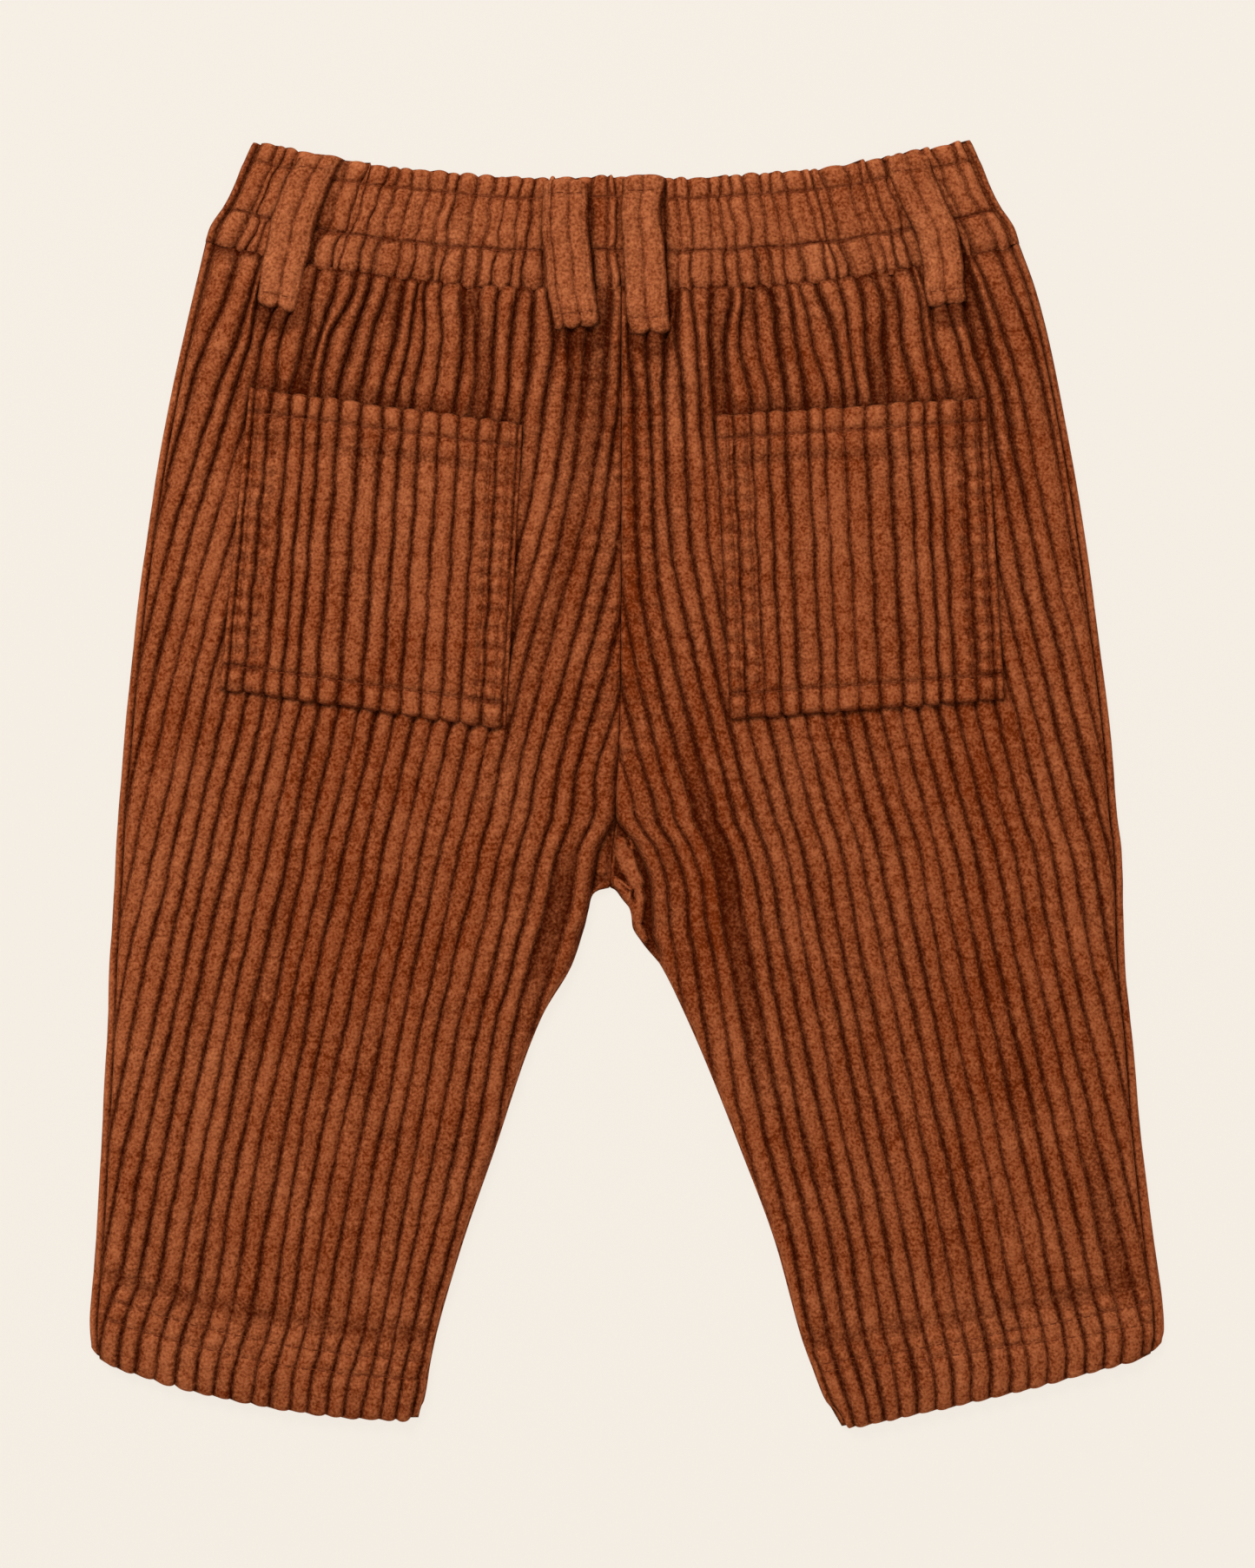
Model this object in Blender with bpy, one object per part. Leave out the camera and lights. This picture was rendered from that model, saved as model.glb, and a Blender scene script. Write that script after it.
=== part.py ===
"""Pull-on trousers for a baby in wide-wale corduroy, lying flat on their front with the back upwards.

Sizes are in millimetres and are scaled to metres where a mesh is made. X runs across the garment, with the
wearer's left at -X. +Y points to the waist and +Z up. The undersides of the front pieces rest on Z = 0.
Each piece is one wall of cloth. The wales are raised in its outer points, over a plain inside.
"""

import math

import bmesh
import bpy

MM = 0.001
SEAM_GAP = 0.3

# The cloth: a plain backing with rounded wales on its outer face.
BACKING = 1.2
WALE_HEIGHT = 1.1
WALE_SAMPLES = (0.0, 0.24, 0.76)
FRONT_WALL = 1.8
BACK_LOWEST = FRONT_WALL + SEAM_GAP
FRONT_SHARES = (0.12, 0.25, 0.38, 0.5, 0.62, 0.75, 0.88)

# How far in from a folded edge the back panel has risen to its full height.
SIDE_ROLL = 11.0
INSEAM_ROLL = 8.0

# One row per section across a leg, from the waist seam to the hem edge.
# outer_x, outer_y: the folded side edge, which belongs to the front panel.
# inner_x, inner_y: the centre seam or inseam edge of the back panel. front_x: the same of the front panel.
# sag: how far the middle of the row hangs below a straight line.
# first, last: the wale numbers that meet the side edge and the inner edge.
# crown: height of the back panel's inside at mid-width. edge: its height at the inner edge.
# lift: what is added to the outer face at seams, stitching and the doubled hem.
# strip: width of the front panel that shows along the side edge.
LEG_COLUMNS = (
    "outer_x", "outer_y", "inner_x", "inner_y", "front_x", "sag", "first", "last", "crown", "edge", "lift", "strip",
)
LEFT_LEG = (
    (-121.6, 156.0, -1.9, 143.0, -1.9, 4.5, 0.0, 25.5, 4.4, 3.8, -0.5, 2.5),  # waist seam
    (-124.4, 144.5, -1.9, 136.5, -1.9, 3.5, 0.0, 25.5, 5.2, 4.2, 0.2, 2.5),  # gathers
    (-127.6, 130.7, -1.9, 124.5, -1.9, 2.0, 0.1, 25.5, 5.4, 4.4, 0.1, 2.5),  # above the pocket
    (-131.4, 113.2, -1.9, 109.5, -1.9, 1.0, 0.2, 25.5, 5.2, 4.3, 0.0, 2.5),  # pocket mouth
    (-138.6, 70.7, -1.9, 70.7, -1.9, 0.0, 1.1, 25.9, 5.0, 4.2, 0.0, 2.5),  # hip
    (-143.9, 25.7, -2.2, 25.7, -2.0, 0.0, 2.2, 27.4, 5.0, 4.2, 0.0, 2.5),  # foot of the pocket
    (-145.6, 5.7, -2.9, 5.7, -2.7, 0.0, 2.7, 28.7, 5.0, 4.2, 0.0, 2.5),  # seat
    (-146.9, -9.2, -3.6, -8.7, -3.5, 0.0, 3.1, 29.8, 4.9, 4.0, 0.0, 2.5),  # end of the centre seam
    (-147.4, -19.2, -8.1, -19.2, -4.6, 0.0, 3.4, 29.8, 4.9, 2.8, 0.0, 2.5),  # crotch
    (-147.9, -29.7, -10.2, -29.7, -5.4, 0.0, 3.7, 29.8, 4.8, 2.5, 0.0, 2.5),  # top of the gap
    (-148.2, -33.0, -10.6, -33.0, -9.9, 0.0, 3.8, 29.7, 4.8, 2.4, 0.0, 2.5),
    (-148.7, -41.7, -12.9, -41.7, -12.5, 0.0, 4.1, 29.5, 4.7, 2.1, 0.0, 2.5),
    (-149.3, -51.7, -16.2, -51.7, -15.8, 0.0, 4.4, 29.0, 4.7, 2.1, 0.0, 2.5),  # thigh
    (-149.8, -66.7, -25.2, -67.2, -24.7, 0.0, 4.9, 28.2, 4.6, 2.1, 0.0, 2.5),
    (-151.6, -101.7, -39.6, -108.0, -39.1, 0.0, 6.0, 26.3, 4.6, 2.1, 0.0, 2.5),  # knee
    (-152.6, -121.7, -48.2, -133.0, -47.7, 1.0, 6.6, 25.9, 4.4, 2.1, 0.0, 2.5),
    (-153.9, -139.7, -56.0, -160.5, -55.5, 3.0, 7.1, 25.8, 3.9, 2.1, -0.4, 2.5),  # dent above the hem
    (-154.4, -146.7, -57.5, -168.0, -57.0, 3.5, 7.4, 25.8, 3.8, 2.1, 0.1, 2.5),  # hem stitching
    (-155.0, -155.5, -58.5, -174.7, -58.0, 4.0, 7.7, 25.8, 3.8, 2.1, 0.4, 2.5),  # middle of the hem
    (-154.6, -164.7, -60.2, -182.5, -59.7, 4.4, 8.0, 25.8, 3.4, 2.1, -0.1, 2.5),  # hem edge
)
RIGHT_LEG = (
    (112.9, 155.5, -1.6, 143.0, -1.6, 4.5, 0.0, 24.5, 4.4, 3.8, -0.5, 2.5),  # waist seam
    (117.1, 144.5, -1.6, 136.5, -1.6, 3.5, 0.0, 24.5, 5.2, 4.2, 0.2, 2.5),  # gathers
    (120.9, 130.7, -1.6, 124.5, -1.6, 2.0, 0.0, 24.5, 5.4, 4.4, 0.1, 2.5),  # above the pocket
    (124.6, 113.2, -1.6, 109.5, -1.6, 1.0, 0.1, 24.5, 5.2, 4.3, 0.0, 2.5),  # pocket mouth
    (131.9, 70.7, -1.6, 70.7, -1.6, 0.0, 0.5, 24.7, 5.0, 4.2, 0.0, 2.5),  # hip
    (137.9, 25.7, -1.9, 25.7, -1.7, 0.0, 1.4, 26.3, 5.0, 4.2, 0.0, 2.5),  # foot of the pocket
    (140.1, 5.7, -2.6, 5.7, -2.4, 0.0, 1.9, 27.6, 5.0, 4.2, 0.0, 2.5),  # seat
    (141.1, -9.2, -3.3, -8.7, -3.2, 0.0, 2.4, 28.7, 4.9, 4.0, 0.0, 2.5),  # end of the centre seam
    (142.4, -19.2, 3.1, -19.2, -4.3, 0.0, 2.7, 28.8, 4.9, 2.8, 0.0, 2.5),  # crotch
    (142.9, -29.7, 6.6, -29.7, -4.6, 0.0, 3.0, 28.8, 4.8, 2.5, 0.0, 2.5),  # top of the gap
    (142.9, -33.0, 6.8, -33.0, -1.4, 0.0, 3.1, 28.8, 4.8, 2.4, 0.0, 2.5),
    (143.0, -41.7, 7.2, -41.7, 2.1, 0.0, 3.4, 28.7, 4.7, 2.1, 0.0, 2.5),
    (143.4, -51.7, 9.9, -51.7, 9.2, 0.0, 3.7, 28.2, 4.7, 2.1, 0.0, 2.5),  # thigh
    (144.9, -66.7, 17.4, -67.2, 16.9, 0.0, 4.1, 27.3, 4.6, 2.1, 0.0, 2.5),
    (148.1, -101.7, 33.9, -107.5, 33.4, 0.0, 5.1, 25.4, 4.6, 2.1, 0.0, 2.8),  # knee
    (150.4, -121.7, 42.9, -131.7, 42.4, 0.5, 5.6, 25.0, 4.4, 2.1, 0.0, 3.0),
    (152.9, -139.2, 50.9, -160.5, 50.4, 1.0, 6.0, 24.6, 3.9, 2.1, -0.4, 3.2),  # dent above the hem
    (154.1, -148.0, 53.9, -168.7, 53.4, 1.0, 6.2, 24.5, 3.8, 2.1, 0.1, 3.2),  # hem stitching
    (154.6, -156.7, 57.0, -176.7, 56.5, 1.0, 6.4, 24.5, 3.8, 2.1, 0.4, 3.2),  # middle of the hem
    (153.9, -163.2, 61.7, -185.0, 61.2, 1.0, 6.5, 24.4, 3.4, 2.1, -0.1, 3.2),  # hem edge
)

# How far the front panel's inner edge stands up in the fold that shows at the crotch, by row number.
LEFT_CROTCH_FOLD = {8: 0.7, 9: 0.8}
RIGHT_CROTCH_FOLD = {8: 1.0, 9: 1.3, 10: 1.2, 11: 0.7}

# The largest folds under the waistband: the wale each lies on, its depth at the seam, its half-width in wales
# and how far below the seam it has run out.
FOLD_COLUMNS = ("wale", "depth", "half_width", "reach")
LEFT_FOLDS = (
    (2.6, 0.9, 0.6, 34.0),
    (4.9, 1.2, 0.6, 26.0),
    (7.1, 1.8, 0.7, 34.0),
    (9.6, 0.9, 0.6, 24.0),
    (11.6, 1.0, 0.6, 28.0),
    (14.0, 1.2, 0.6, 26.0),
    (16.9, 1.8, 0.7, 36.0),
    (19.2, 1.0, 0.6, 26.0),
    (21.6, 1.2, 0.6, 34.0),
    (23.7, 0.9, 0.6, 44.0),
)
RIGHT_FOLDS = (
    (2.5, 0.9, 0.6, 34.0),
    (4.7, 1.6, 0.7, 34.0),
    (6.9, 1.0, 0.6, 26.0),
    (9.3, 1.2, 0.6, 26.0),
    (11.4, 1.7, 0.7, 34.0),
    (13.8, 1.0, 0.6, 26.0),
    (16.2, 1.3, 0.6, 30.0),
    (18.4, 1.0, 0.6, 26.0),
    (20.6, 1.6, 0.7, 36.0),
    (22.6, 0.9, 0.6, 44.0),
)
MOST_FOLD = 1.9

# The waistband: its ends and centre along the top edge and along the waist seam.
BAND_TOP = {"left": (-108.1, 184.8), "centre": (-1.75, 174.3), "right": (98.9, 185.5), "sag": 3.9}
BAND_SEAM = {"left": (-121.6, 156.4), "centre": (-1.75, 143.4), "right": (112.9, 155.9), "sag": 4.5}
BAND_FRONT_WALL = 3.0
BAND_BACK_INSIDE = BAND_FRONT_WALL + SEAM_GAP
BAND_GATHERS = 50
BAND_STEP = 2.5
# Across the band from its top edge to the waist seam: the share of its width, the height of the gathers' crests
# over the inside, and how deep the grooves between them are.
BAND_ROWS = (
    (0.0, 1.5, 0.5),  # top edge
    (0.05, 2.6, 0.9),
    (0.13, 2.8, 1.0),  # frill above the elastic
    (0.18, 1.9, 0.6),  # first stitching
    (0.25, 3.1, 1.1),
    (0.43, 3.6, 1.1),  # over the elastic
    (0.60, 3.1, 1.1),
    (0.67, 1.9, 0.6),  # second stitching
    (0.74, 2.9, 1.0),
    (0.90, 3.1, 1.1),  # strip below the elastic
    (1.0, 1.9, 0.7),  # waist seam
)

# The patch pockets: corners in order top outer, top inner, bottom inner, bottom outer.
POCKET_CORNERS = {
    "pocket_left": ((-108.4, 113.0), (-30.1, 102.5), (-34.9, 16.2), (-116.9, 27.7)),
    "pocket_right": ((102.9, 110.2), (25.1, 105.0), (29.4, 19.0), (108.1, 24.7)),
}
POCKET_WALES = 14
# Down the pocket: the share of its height, and what is added to the outer face there.
POCKET_ROWS = (
    (0.0, -0.4),  # top edge
    (0.03, 0.3),
    (0.07, -0.3),  # first stitching of the top hem
    (0.11, 0.3),
    (0.15, -0.5),  # end of the turned-in hem
    (0.20, 0.1),
    (0.45, 0.1),
    (0.70, 0.1),
    (0.90, 0.1),
    (0.925, -0.3),  # bottom stitching
    (0.97, 0.2),
    (1.0, -0.4),  # bottom edge
)

# The belt loops. places: the middle of each at five equal steps from its top end to its bottom end.
# widths: its width at the same steps. tilts: the slope of a line across it at the top and at the bottom.
# ribs: where its ribs meet, as shares of its width.
LOOP_COLUMNS = ("name", "places", "widths", "tilts", "ribs")
LOOPS = (
    (
        "belt_loop_1",
        ((-86.9, 181.9), (-92.2, 171.5), (-96.2, 159.0), (-98.9, 147.0), (-100.3, 136.6)),
        (11.4, 12.6, 12.6, 12.4, 11.6),
        (-0.07, -0.24),
        (-0.5, 0.02, 0.5),
    ),
    (
        "belt_loop_2",
        ((-17.6, 174.9), (-17.9, 164.5), (-17.5, 153.5), (-16.0, 142.5), (-14.6, 131.3)),
        (12.6, 13.2, 13.4, 13.4, 12.8),
        (-0.03, 0.1),
        (-0.5, -0.3, 0.09, 0.5),
    ),
    (
        "belt_loop_3",
        ((4.8, 176.2), (3.9, 164.8), (4.7, 153.2), (5.4, 141.6), (6.4, 129.6)),
        (12.6, 11.2, 12.0, 12.2, 11.8),
        (0.02, 0.03),
        (-0.5, -0.02, 0.5),
    ),
    (
        "belt_loop_4",
        ((79.2, 182.1), (83.2, 170.6), (88.2, 159.2), (90.6, 148.6), (91.3, 137.8)),
        (12.2, 12.6, 12.2, 11.6, 11.4),
        (0.09, 0.12),
        (-0.5, 0.0, 0.5),
    ),
)
LOOP_RIB = 1.0
# Across one rib: the share of its width and of its height.
RIB_PROFILE = ((0.0, 0.0), (0.16, 0.72), (0.5, 1.0), (0.84, 0.72))
# Along a loop: the place of its inner face as a share of its length and a height, then the same of its outer face.
LOOP_ROWS = (
    (0.0, 3.4, -0.024, 3.4),  # turned over the top edge of the band
    (0.004, 5.0, -0.024, 5.4),
    (0.020, 6.4, -0.004, 7.0),
    (0.060, 7.0, 0.055, 7.9),
    (0.12, 7.2, 0.12, 8.1),  # upper stitching
    (0.24, 7.5, 0.24, 8.5),
    (0.42, 7.6, 0.42, 8.6),
    (0.62, 7.5, 0.62, 8.5),
    (0.78, 7.8, 0.78, 8.7),
    (0.90, 8.1, 0.90, 9.0),  # lower stitching
    (0.97, 8.1, 0.97, 9.0),
    (1.0, 8.1, 1.0, 8.8),
)


def clear_scene():
    for item in list(bpy.data.objects):
        bpy.data.objects.remove(item, do_unlink=True)


def named(columns, rows):
    return [dict(zip(columns, row)) for row in rows]


def corduroy(name, colour):
    """One plain cloth material for one node."""
    material = bpy.data.materials.new(name)
    material.use_nodes = True
    shader = material.node_tree.nodes["Principled BSDF"]
    shader.inputs["Base Color"].default_value = (*colour, 1.0)
    shader.inputs["Roughness"].default_value = 0.9
    shader.inputs["Metallic"].default_value = 0.0
    return material


RUST = (0.19, 0.042, 0.012)


def strip_faces(low, high, low_ids, high_ids):
    """Triangles between two rows of points, each sorted by its place across the cloth."""
    faces = []
    i = j = 0
    while i < len(low) - 1 or j < len(high) - 1:
        next_low = low[i + 1] if i < len(low) - 1 else math.inf
        next_high = high[j + 1] if j < len(high) - 1 else math.inf
        if next_low <= next_high:
            faces.append((low_ids[i], low_ids[i + 1], high_ids[j]))
            i += 1
        else:
            faces.append((low_ids[i], high_ids[j + 1], high_ids[j]))
            j += 1
    return faces


def make_wall(name, outer_rows, inner_rows, colour=RUST):
    """A closed wall. Each row is a list of (place across, (x, y, z)). Outer and inner rows share their two ends."""
    points = []
    outer_ids = []
    inner_ids = []
    for rows, ids in ((outer_rows, outer_ids), (inner_rows, inner_ids)):
        for row in rows:
            ids.append(list(range(len(points), len(points) + len(row))))
            points.extend(point for _, point in row)
    faces = []
    for rows, ids in ((outer_rows, outer_ids), (inner_rows, inner_ids)):
        for r in range(len(rows) - 1):
            across = [place for place, _ in rows[r]]
            below = [place for place, _ in rows[r + 1]]
            faces += strip_faces(across, below, ids[r], ids[r + 1])
    for end in (0, -1):
        faces += strip_faces(
            [place for place, _ in outer_rows[end]],
            [place for place, _ in inner_rows[end]],
            outer_ids[end],
            inner_ids[end],
        )
        for r in range(len(outer_rows) - 1):
            upper = (outer_ids[r][end], outer_ids[r + 1][end])
            lower = (inner_ids[r][end], inner_ids[r + 1][end])
            faces += [(upper[0], upper[1], lower[0]), (upper[1], lower[1], lower[0])]
    shape = bmesh.new()
    corners = [shape.verts.new((x * MM, y * MM, z * MM)) for x, y, z in points]
    for face in faces:
        shape.faces.new([corners[i] for i in face])
    bmesh.ops.recalc_face_normals(shape, faces=shape.faces)
    mesh = bpy.data.meshes.new(name)
    shape.to_mesh(mesh)
    shape.free()
    piece = bpy.data.objects.new(name, mesh)
    bpy.context.scene.collection.objects.link(piece)
    mesh.materials.append(corduroy(name + "_cloth", colour))
    return piece


def rise(distance, reach):
    """0 at a folded edge, rising like a quarter circle to 1 at this distance from it."""
    if distance >= reach:
        return 1.0
    return math.sqrt(1 - (1 - max(distance, 0.0) / reach) ** 2)


def across_leg(row, share, inner_x):
    """The point at this share of the way from the side edge to the given inner edge."""
    x = row["outer_x"] + share * (inner_x - row["outer_x"])
    y = row["outer_y"] + share * (row["inner_y"] - row["outer_y"])
    return x, y - 4 * row["sag"] * share * (1 - share)


def back_inside(row, share):
    """Height of the back panel's plain inside. It falls to the side edge and to the seam or inseam."""
    width = abs(row["inner_x"] - row["outer_x"])
    side_fall = (row["crown"] - BACK_LOWEST) * (1 - rise(share * width - row["strip"], SIDE_ROLL))
    inner_fall = (row["crown"] - row["edge"]) * (1 - rise((1 - share) * width, INSEAM_ROLL))
    return max(BACK_LOWEST, row["crown"] - side_fall - inner_fall)


def wale_relief(wale):
    """0 in the groove between two wales and 1 on the flat-topped wale."""
    part = wale % 1.0
    return min(1.0, 4.2 * min(part, 1 - part))


def fold_depth(folds, wale, below_seam):
    depth = 0.0
    for fold in folds:
        near = 1 - abs(wale - fold["wale"]) / fold["half_width"]
        if near > 0 and below_seam < fold["reach"]:
            depth += fold["depth"] * near * (1 - below_seam / fold["reach"])
    return min(depth, MOST_FOLD)


def wale_places(first, last):
    """Where a row is sampled: at both ends, and at the same parts of every wale between them."""
    places = [first]
    for wale in range(math.floor(first), math.ceil(last)):
        for part in WALE_SAMPLES:
            place = wale + part
            if first + 0.15 < place < last - 0.15:
                places.append(place)
    places.append(last)
    return places


def back_panel(name, leg, folds):
    outer_rows = []
    inner_rows = []
    top = leg[0]["inner_y"]
    for number, row in enumerate(leg):
        width = abs(row["inner_x"] - row["outer_x"])
        start = row["strip"] / width
        outer = []
        for place in wale_places(row["first"], row["last"]):
            along = (place - row["first"]) / (row["last"] - row["first"])
            share = start + along * (1 - start)
            x, y = across_leg(row, share, row["inner_x"])
            relief = wale_relief(place)
            if number == len(leg) - 1:
                y -= 0.8 * relief
            height = back_inside(row, share) + BACKING + WALE_HEIGHT * relief + row["lift"]
            height -= fold_depth(folds, place, top - y) if number else 0.5 * fold_depth(folds, place, 0)
            outer.append((place, (x, y, max(height, back_inside(row, share) + 0.6))))
        inner = []
        steps = 12
        for step in range(steps + 1):
            along = step / steps
            share = start + along * (1 - start)
            x, y = across_leg(row, share, row["inner_x"])
            place = row["first"] + along * (row["last"] - row["first"])
            lowered = min(0.9, fold_reach(folds, top - y))
            inner.append((place, (x, y, max(BACK_LOWEST, back_inside(row, share) - lowered))))
        outer_rows.append(outer)
        inner_rows.append(inner)
    return make_wall(name, outer_rows, inner_rows)


def fold_reach(folds, below_seam):
    """How far the inside is lowered where the outer face is folded, so that the wall keeps its thickness."""
    return 0.9 * max(0.0, 1 - below_seam / max(fold["reach"] for fold in folds))


def front_panel(name, leg, crotch_fold):
    """The panel underneath: flat where it rests, and turned up along the folded side edge."""
    outer_rows = []
    inner_rows = []
    for number, row in enumerate(leg):
        width = abs(row["front_x"] - row["outer_x"])
        fold = crotch_fold.get(number, 0.0)
        lip = row["strip"] - SEAM_GAP
        upper = (
            (0.0, 1.1),
            (0.18 * lip, 2.4),
            (0.5 * lip, 3.0),
            (0.85 * lip, 2.5),
            (lip, FRONT_WALL),
            *((share * width, FRONT_WALL) for share in FRONT_SHARES),
            (width - 2.8, FRONT_WALL),
            (width - 1.4, FRONT_WALL + fold),
            (width, FRONT_WALL - 0.3 + 0.5 * fold),
        )
        lower = ((0.0, 0.8), (0.9, 0.0), *((share * width, 0.0) for share in FRONT_SHARES), (width, 0.0))
        for profile, rows in ((upper, outer_rows), (lower, inner_rows)):
            line = []
            for distance, height in profile:
                x, y = across_leg(row, distance / width, row["front_x"])
                line.append((distance / width, (x, y, height)))
            rows.append(line)
    return make_wall(name, outer_rows, inner_rows)


def band_point(side, share_out, share_down):
    """A point of the waistband's plan: share_out from the centre to the end of one side, share_down from its top."""
    ends = []
    for edge in (BAND_TOP, BAND_SEAM):
        (cx, cy), (ex, ey) = edge["centre"], edge[side]
        drop = 4 * edge["sag"] * share_out * (1 - share_out)
        ends.append((cx + share_out * (ex - cx), cy + share_out * (ey - cy) - drop))
    (tx, ty), (bx, by) = ends
    return tx + share_down * (bx - tx), ty + share_down * (by - ty)


def band_plan(place, share_down, inset):
    """The same by gather number, from 0 at the wearer's left end. inset is how far the ends are held back."""
    half = BAND_GATHERS / 2
    side = "left" if place < half else "right"
    end_x = abs(band_point(side, 1.0, share_down)[0] - BAND_TOP["centre"][0])
    share_out = abs(place - half) / half * (1 - inset / end_x)
    return band_point(side, share_out, share_down)


def waistband_back():
    outer_rows = []
    inner_rows = []
    for share_down, crest, groove in BAND_ROWS:
        outer = []
        for half_step in range(2 * BAND_GATHERS + 1):
            place = half_step / 2
            x, y = band_plan(place, share_down, 2.8)
            near_end = min(place, BAND_GATHERS - place) / 2
            height = crest - (groove if half_step % 2 == 0 else 0.0)
            height -= 0.5 * max(0.0, 1 - near_end)
            outer.append((place, (x, y, BAND_BACK_INSIDE + height)))
        inner = []
        for step in range(round(BAND_GATHERS / BAND_STEP) + 1):
            x, y = band_plan(step * BAND_STEP, share_down, 2.8)
            inner.append((step * BAND_STEP, (x, y, BAND_BACK_INSIDE)))
        outer_rows.append(outer)
        inner_rows.append(inner)
    return make_wall("waistband_back", outer_rows, inner_rows)


def waistband_front():
    """The half of the band underneath, turned up at both ends to meet the back half."""
    outer_rows = []
    inner_rows = []
    lip = ((0.0, 1.6), (0.09, 3.6), (0.23, 4.6), (0.39, 4.2), (0.51, BAND_FRONT_WALL))
    middle = [step * BAND_STEP for step in range(1, round(BAND_GATHERS / BAND_STEP))]
    for share_down, thinner in ((0.0, 0.8), (0.06, 0.2), (0.5, 0.0), (0.94, 0.2), (1.0, 0.8)):
        upper = list(lip)
        upper += [(place, BAND_FRONT_WALL) for place in middle]
        upper += [(BAND_GATHERS - place, height) for place, height in reversed(lip)]
        lower = [(0.0, 0.6), (0.2, 0.0)]
        lower += [(place, 0.0) for place in middle]
        lower += [(BAND_GATHERS - 0.2, 0.0), (float(BAND_GATHERS), 0.6)]
        outer = []
        for place, height in upper:
            x, y = band_plan(place, share_down, 0.0)
            outer.append((place, (x, y, height - thinner)))
        inner = []
        for place, height in lower:
            x, y = band_plan(place, share_down, 0.0)
            inner.append((place, (x, y, height)))
        outer_rows.append(outer)
        inner_rows.append(inner)
    return make_wall("waistband_front", outer_rows, inner_rows)


def crest_height(leg, x, y):
    """Height of the back panel's wale crests at this place in plan."""
    levels = []
    for row in leg:
        share = (x - row["outer_x"]) / (row["inner_x"] - row["outer_x"])
        row_y = across_leg(row, share, row["inner_x"])[1]
        height = back_inside(row, share) + BACKING + WALE_HEIGHT + max(0.0, row["lift"])
        levels.append((row_y, height))
    for (upper_y, upper_z), (lower_y, lower_z) in zip(levels, levels[1:]):
        if upper_y >= y >= lower_y:
            part = (upper_y - y) / (upper_y - lower_y)
            return upper_z + part * (lower_z - upper_z)
    return levels[-1][1]


def pocket(name, leg):
    """A patch on the back panel. Its inside follows the panel's crests, moved out by the seam gap."""
    top_outer, top_inner, bottom_inner, bottom_outer = POCKET_CORNERS[name]
    outer_rows = []
    inner_rows = []

    def plan(place, down):
        part = place / POCKET_WALES
        upper = [a + part * (b - a) for a, b in zip(top_outer, top_inner)]
        lower = [a + part * (b - a) for a, b in zip(bottom_outer, bottom_inner)]
        return [a + down * (b - a) for a, b in zip(upper, lower)]

    for down, lift in POCKET_ROWS:
        outer = []
        for place in wale_places(0.0, float(POCKET_WALES)):
            x, y = plan(place, down)
            relief = wale_relief(place)
            if down in (0.0, 1.0):
                y += 0.5 * relief * (1 if down == 0.0 else -1)
            near_side = min(place, POCKET_WALES - place)
            edge_drop = 0.5 if near_side == 0 else 0.0
            height = crest_height(leg, x, y) + SEAM_GAP + BACKING + 0.8 * relief + lift - edge_drop
            outer.append((place, (x, y, height)))
        inner = []
        for place in range(0, POCKET_WALES + 1, 2):
            x, y = plan(float(place), down)
            inner.append((float(place), (x, y, crest_height(leg, x, y) + SEAM_GAP)))
        outer_rows.append(outer)
        inner_rows.append(inner)
    return make_wall(name, outer_rows, inner_rows)


def part_way(values, share):
    """The value at this share of the way along equally spaced values. It goes on past both ends."""
    step = share * (len(values) - 1)
    first = min(max(math.floor(step), 0), len(values) - 2)
    return values[first] + (step - first) * (values[first + 1] - values[first])


def belt_loop(loop):
    """A strap of rounded ribs. It runs from the band's top edge to just below the waist seam."""
    middle_x = [x for x, _ in loop["places"]]
    middle_y = [y for _, y in loop["places"]]
    profile = []
    for left, right in zip(loop["ribs"], loop["ribs"][1:]):
        profile += [(left + part * (right - left), LOOP_RIB * rib) for part, rib in RIB_PROFILE]
    profile.append((0.5, 0.0))
    outer_rows = []
    inner_rows = []

    def plan(along, part):
        tilt = part_way(loop["tilts"], along)
        reach = part * part_way(loop["widths"], along) / math.hypot(1.0, tilt)
        return part_way(middle_x, along) + reach, part_way(middle_y, along) + reach * tilt

    for inner_along, inner_z, outer_along, outer_z in LOOP_ROWS:
        outer = []
        for part, rib in profile:
            x, y = plan(outer_along, part)
            if outer_along == 1.0:
                y -= 0.8 * rib
            outer.append((part, (x, y, outer_z + rib)))
        inner = []
        for part in (-0.5, 0.0, 0.5):
            x, y = plan(inner_along, part)
            inner.append((part, (x, y, inner_z)))
        outer_rows.append(outer)
        inner_rows.append(inner)
    return make_wall(loop["name"], outer_rows, inner_rows)


def build():
    clear_scene()
    left_leg = named(LEG_COLUMNS, LEFT_LEG)
    right_leg = named(LEG_COLUMNS, RIGHT_LEG)
    front_panel("front_left", left_leg, LEFT_CROTCH_FOLD)
    front_panel("front_right", right_leg, RIGHT_CROTCH_FOLD)
    back_panel("back_left", left_leg, named(FOLD_COLUMNS, LEFT_FOLDS))
    back_panel("back_right", right_leg, named(FOLD_COLUMNS, RIGHT_FOLDS))
    waistband_front()
    waistband_back()
    pocket("pocket_left", left_leg)
    pocket("pocket_right", right_leg)
    for loop in named(LOOP_COLUMNS, LOOPS):
        belt_loop(loop)


build()
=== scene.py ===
"""Baby trousers in rust-brown wide-wale corduroy, lying flat on their front with the back upwards.

Lengths in the tables are in millimetres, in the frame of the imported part: +X to the wearer's right, +Y to the
waist and +Z up. Each piece of cloth is a thin closed shell on the form of its solid, sampled finely enough to
carry the wales, gathers, seams and stitching.
"""

import math
from types import SimpleNamespace

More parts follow.
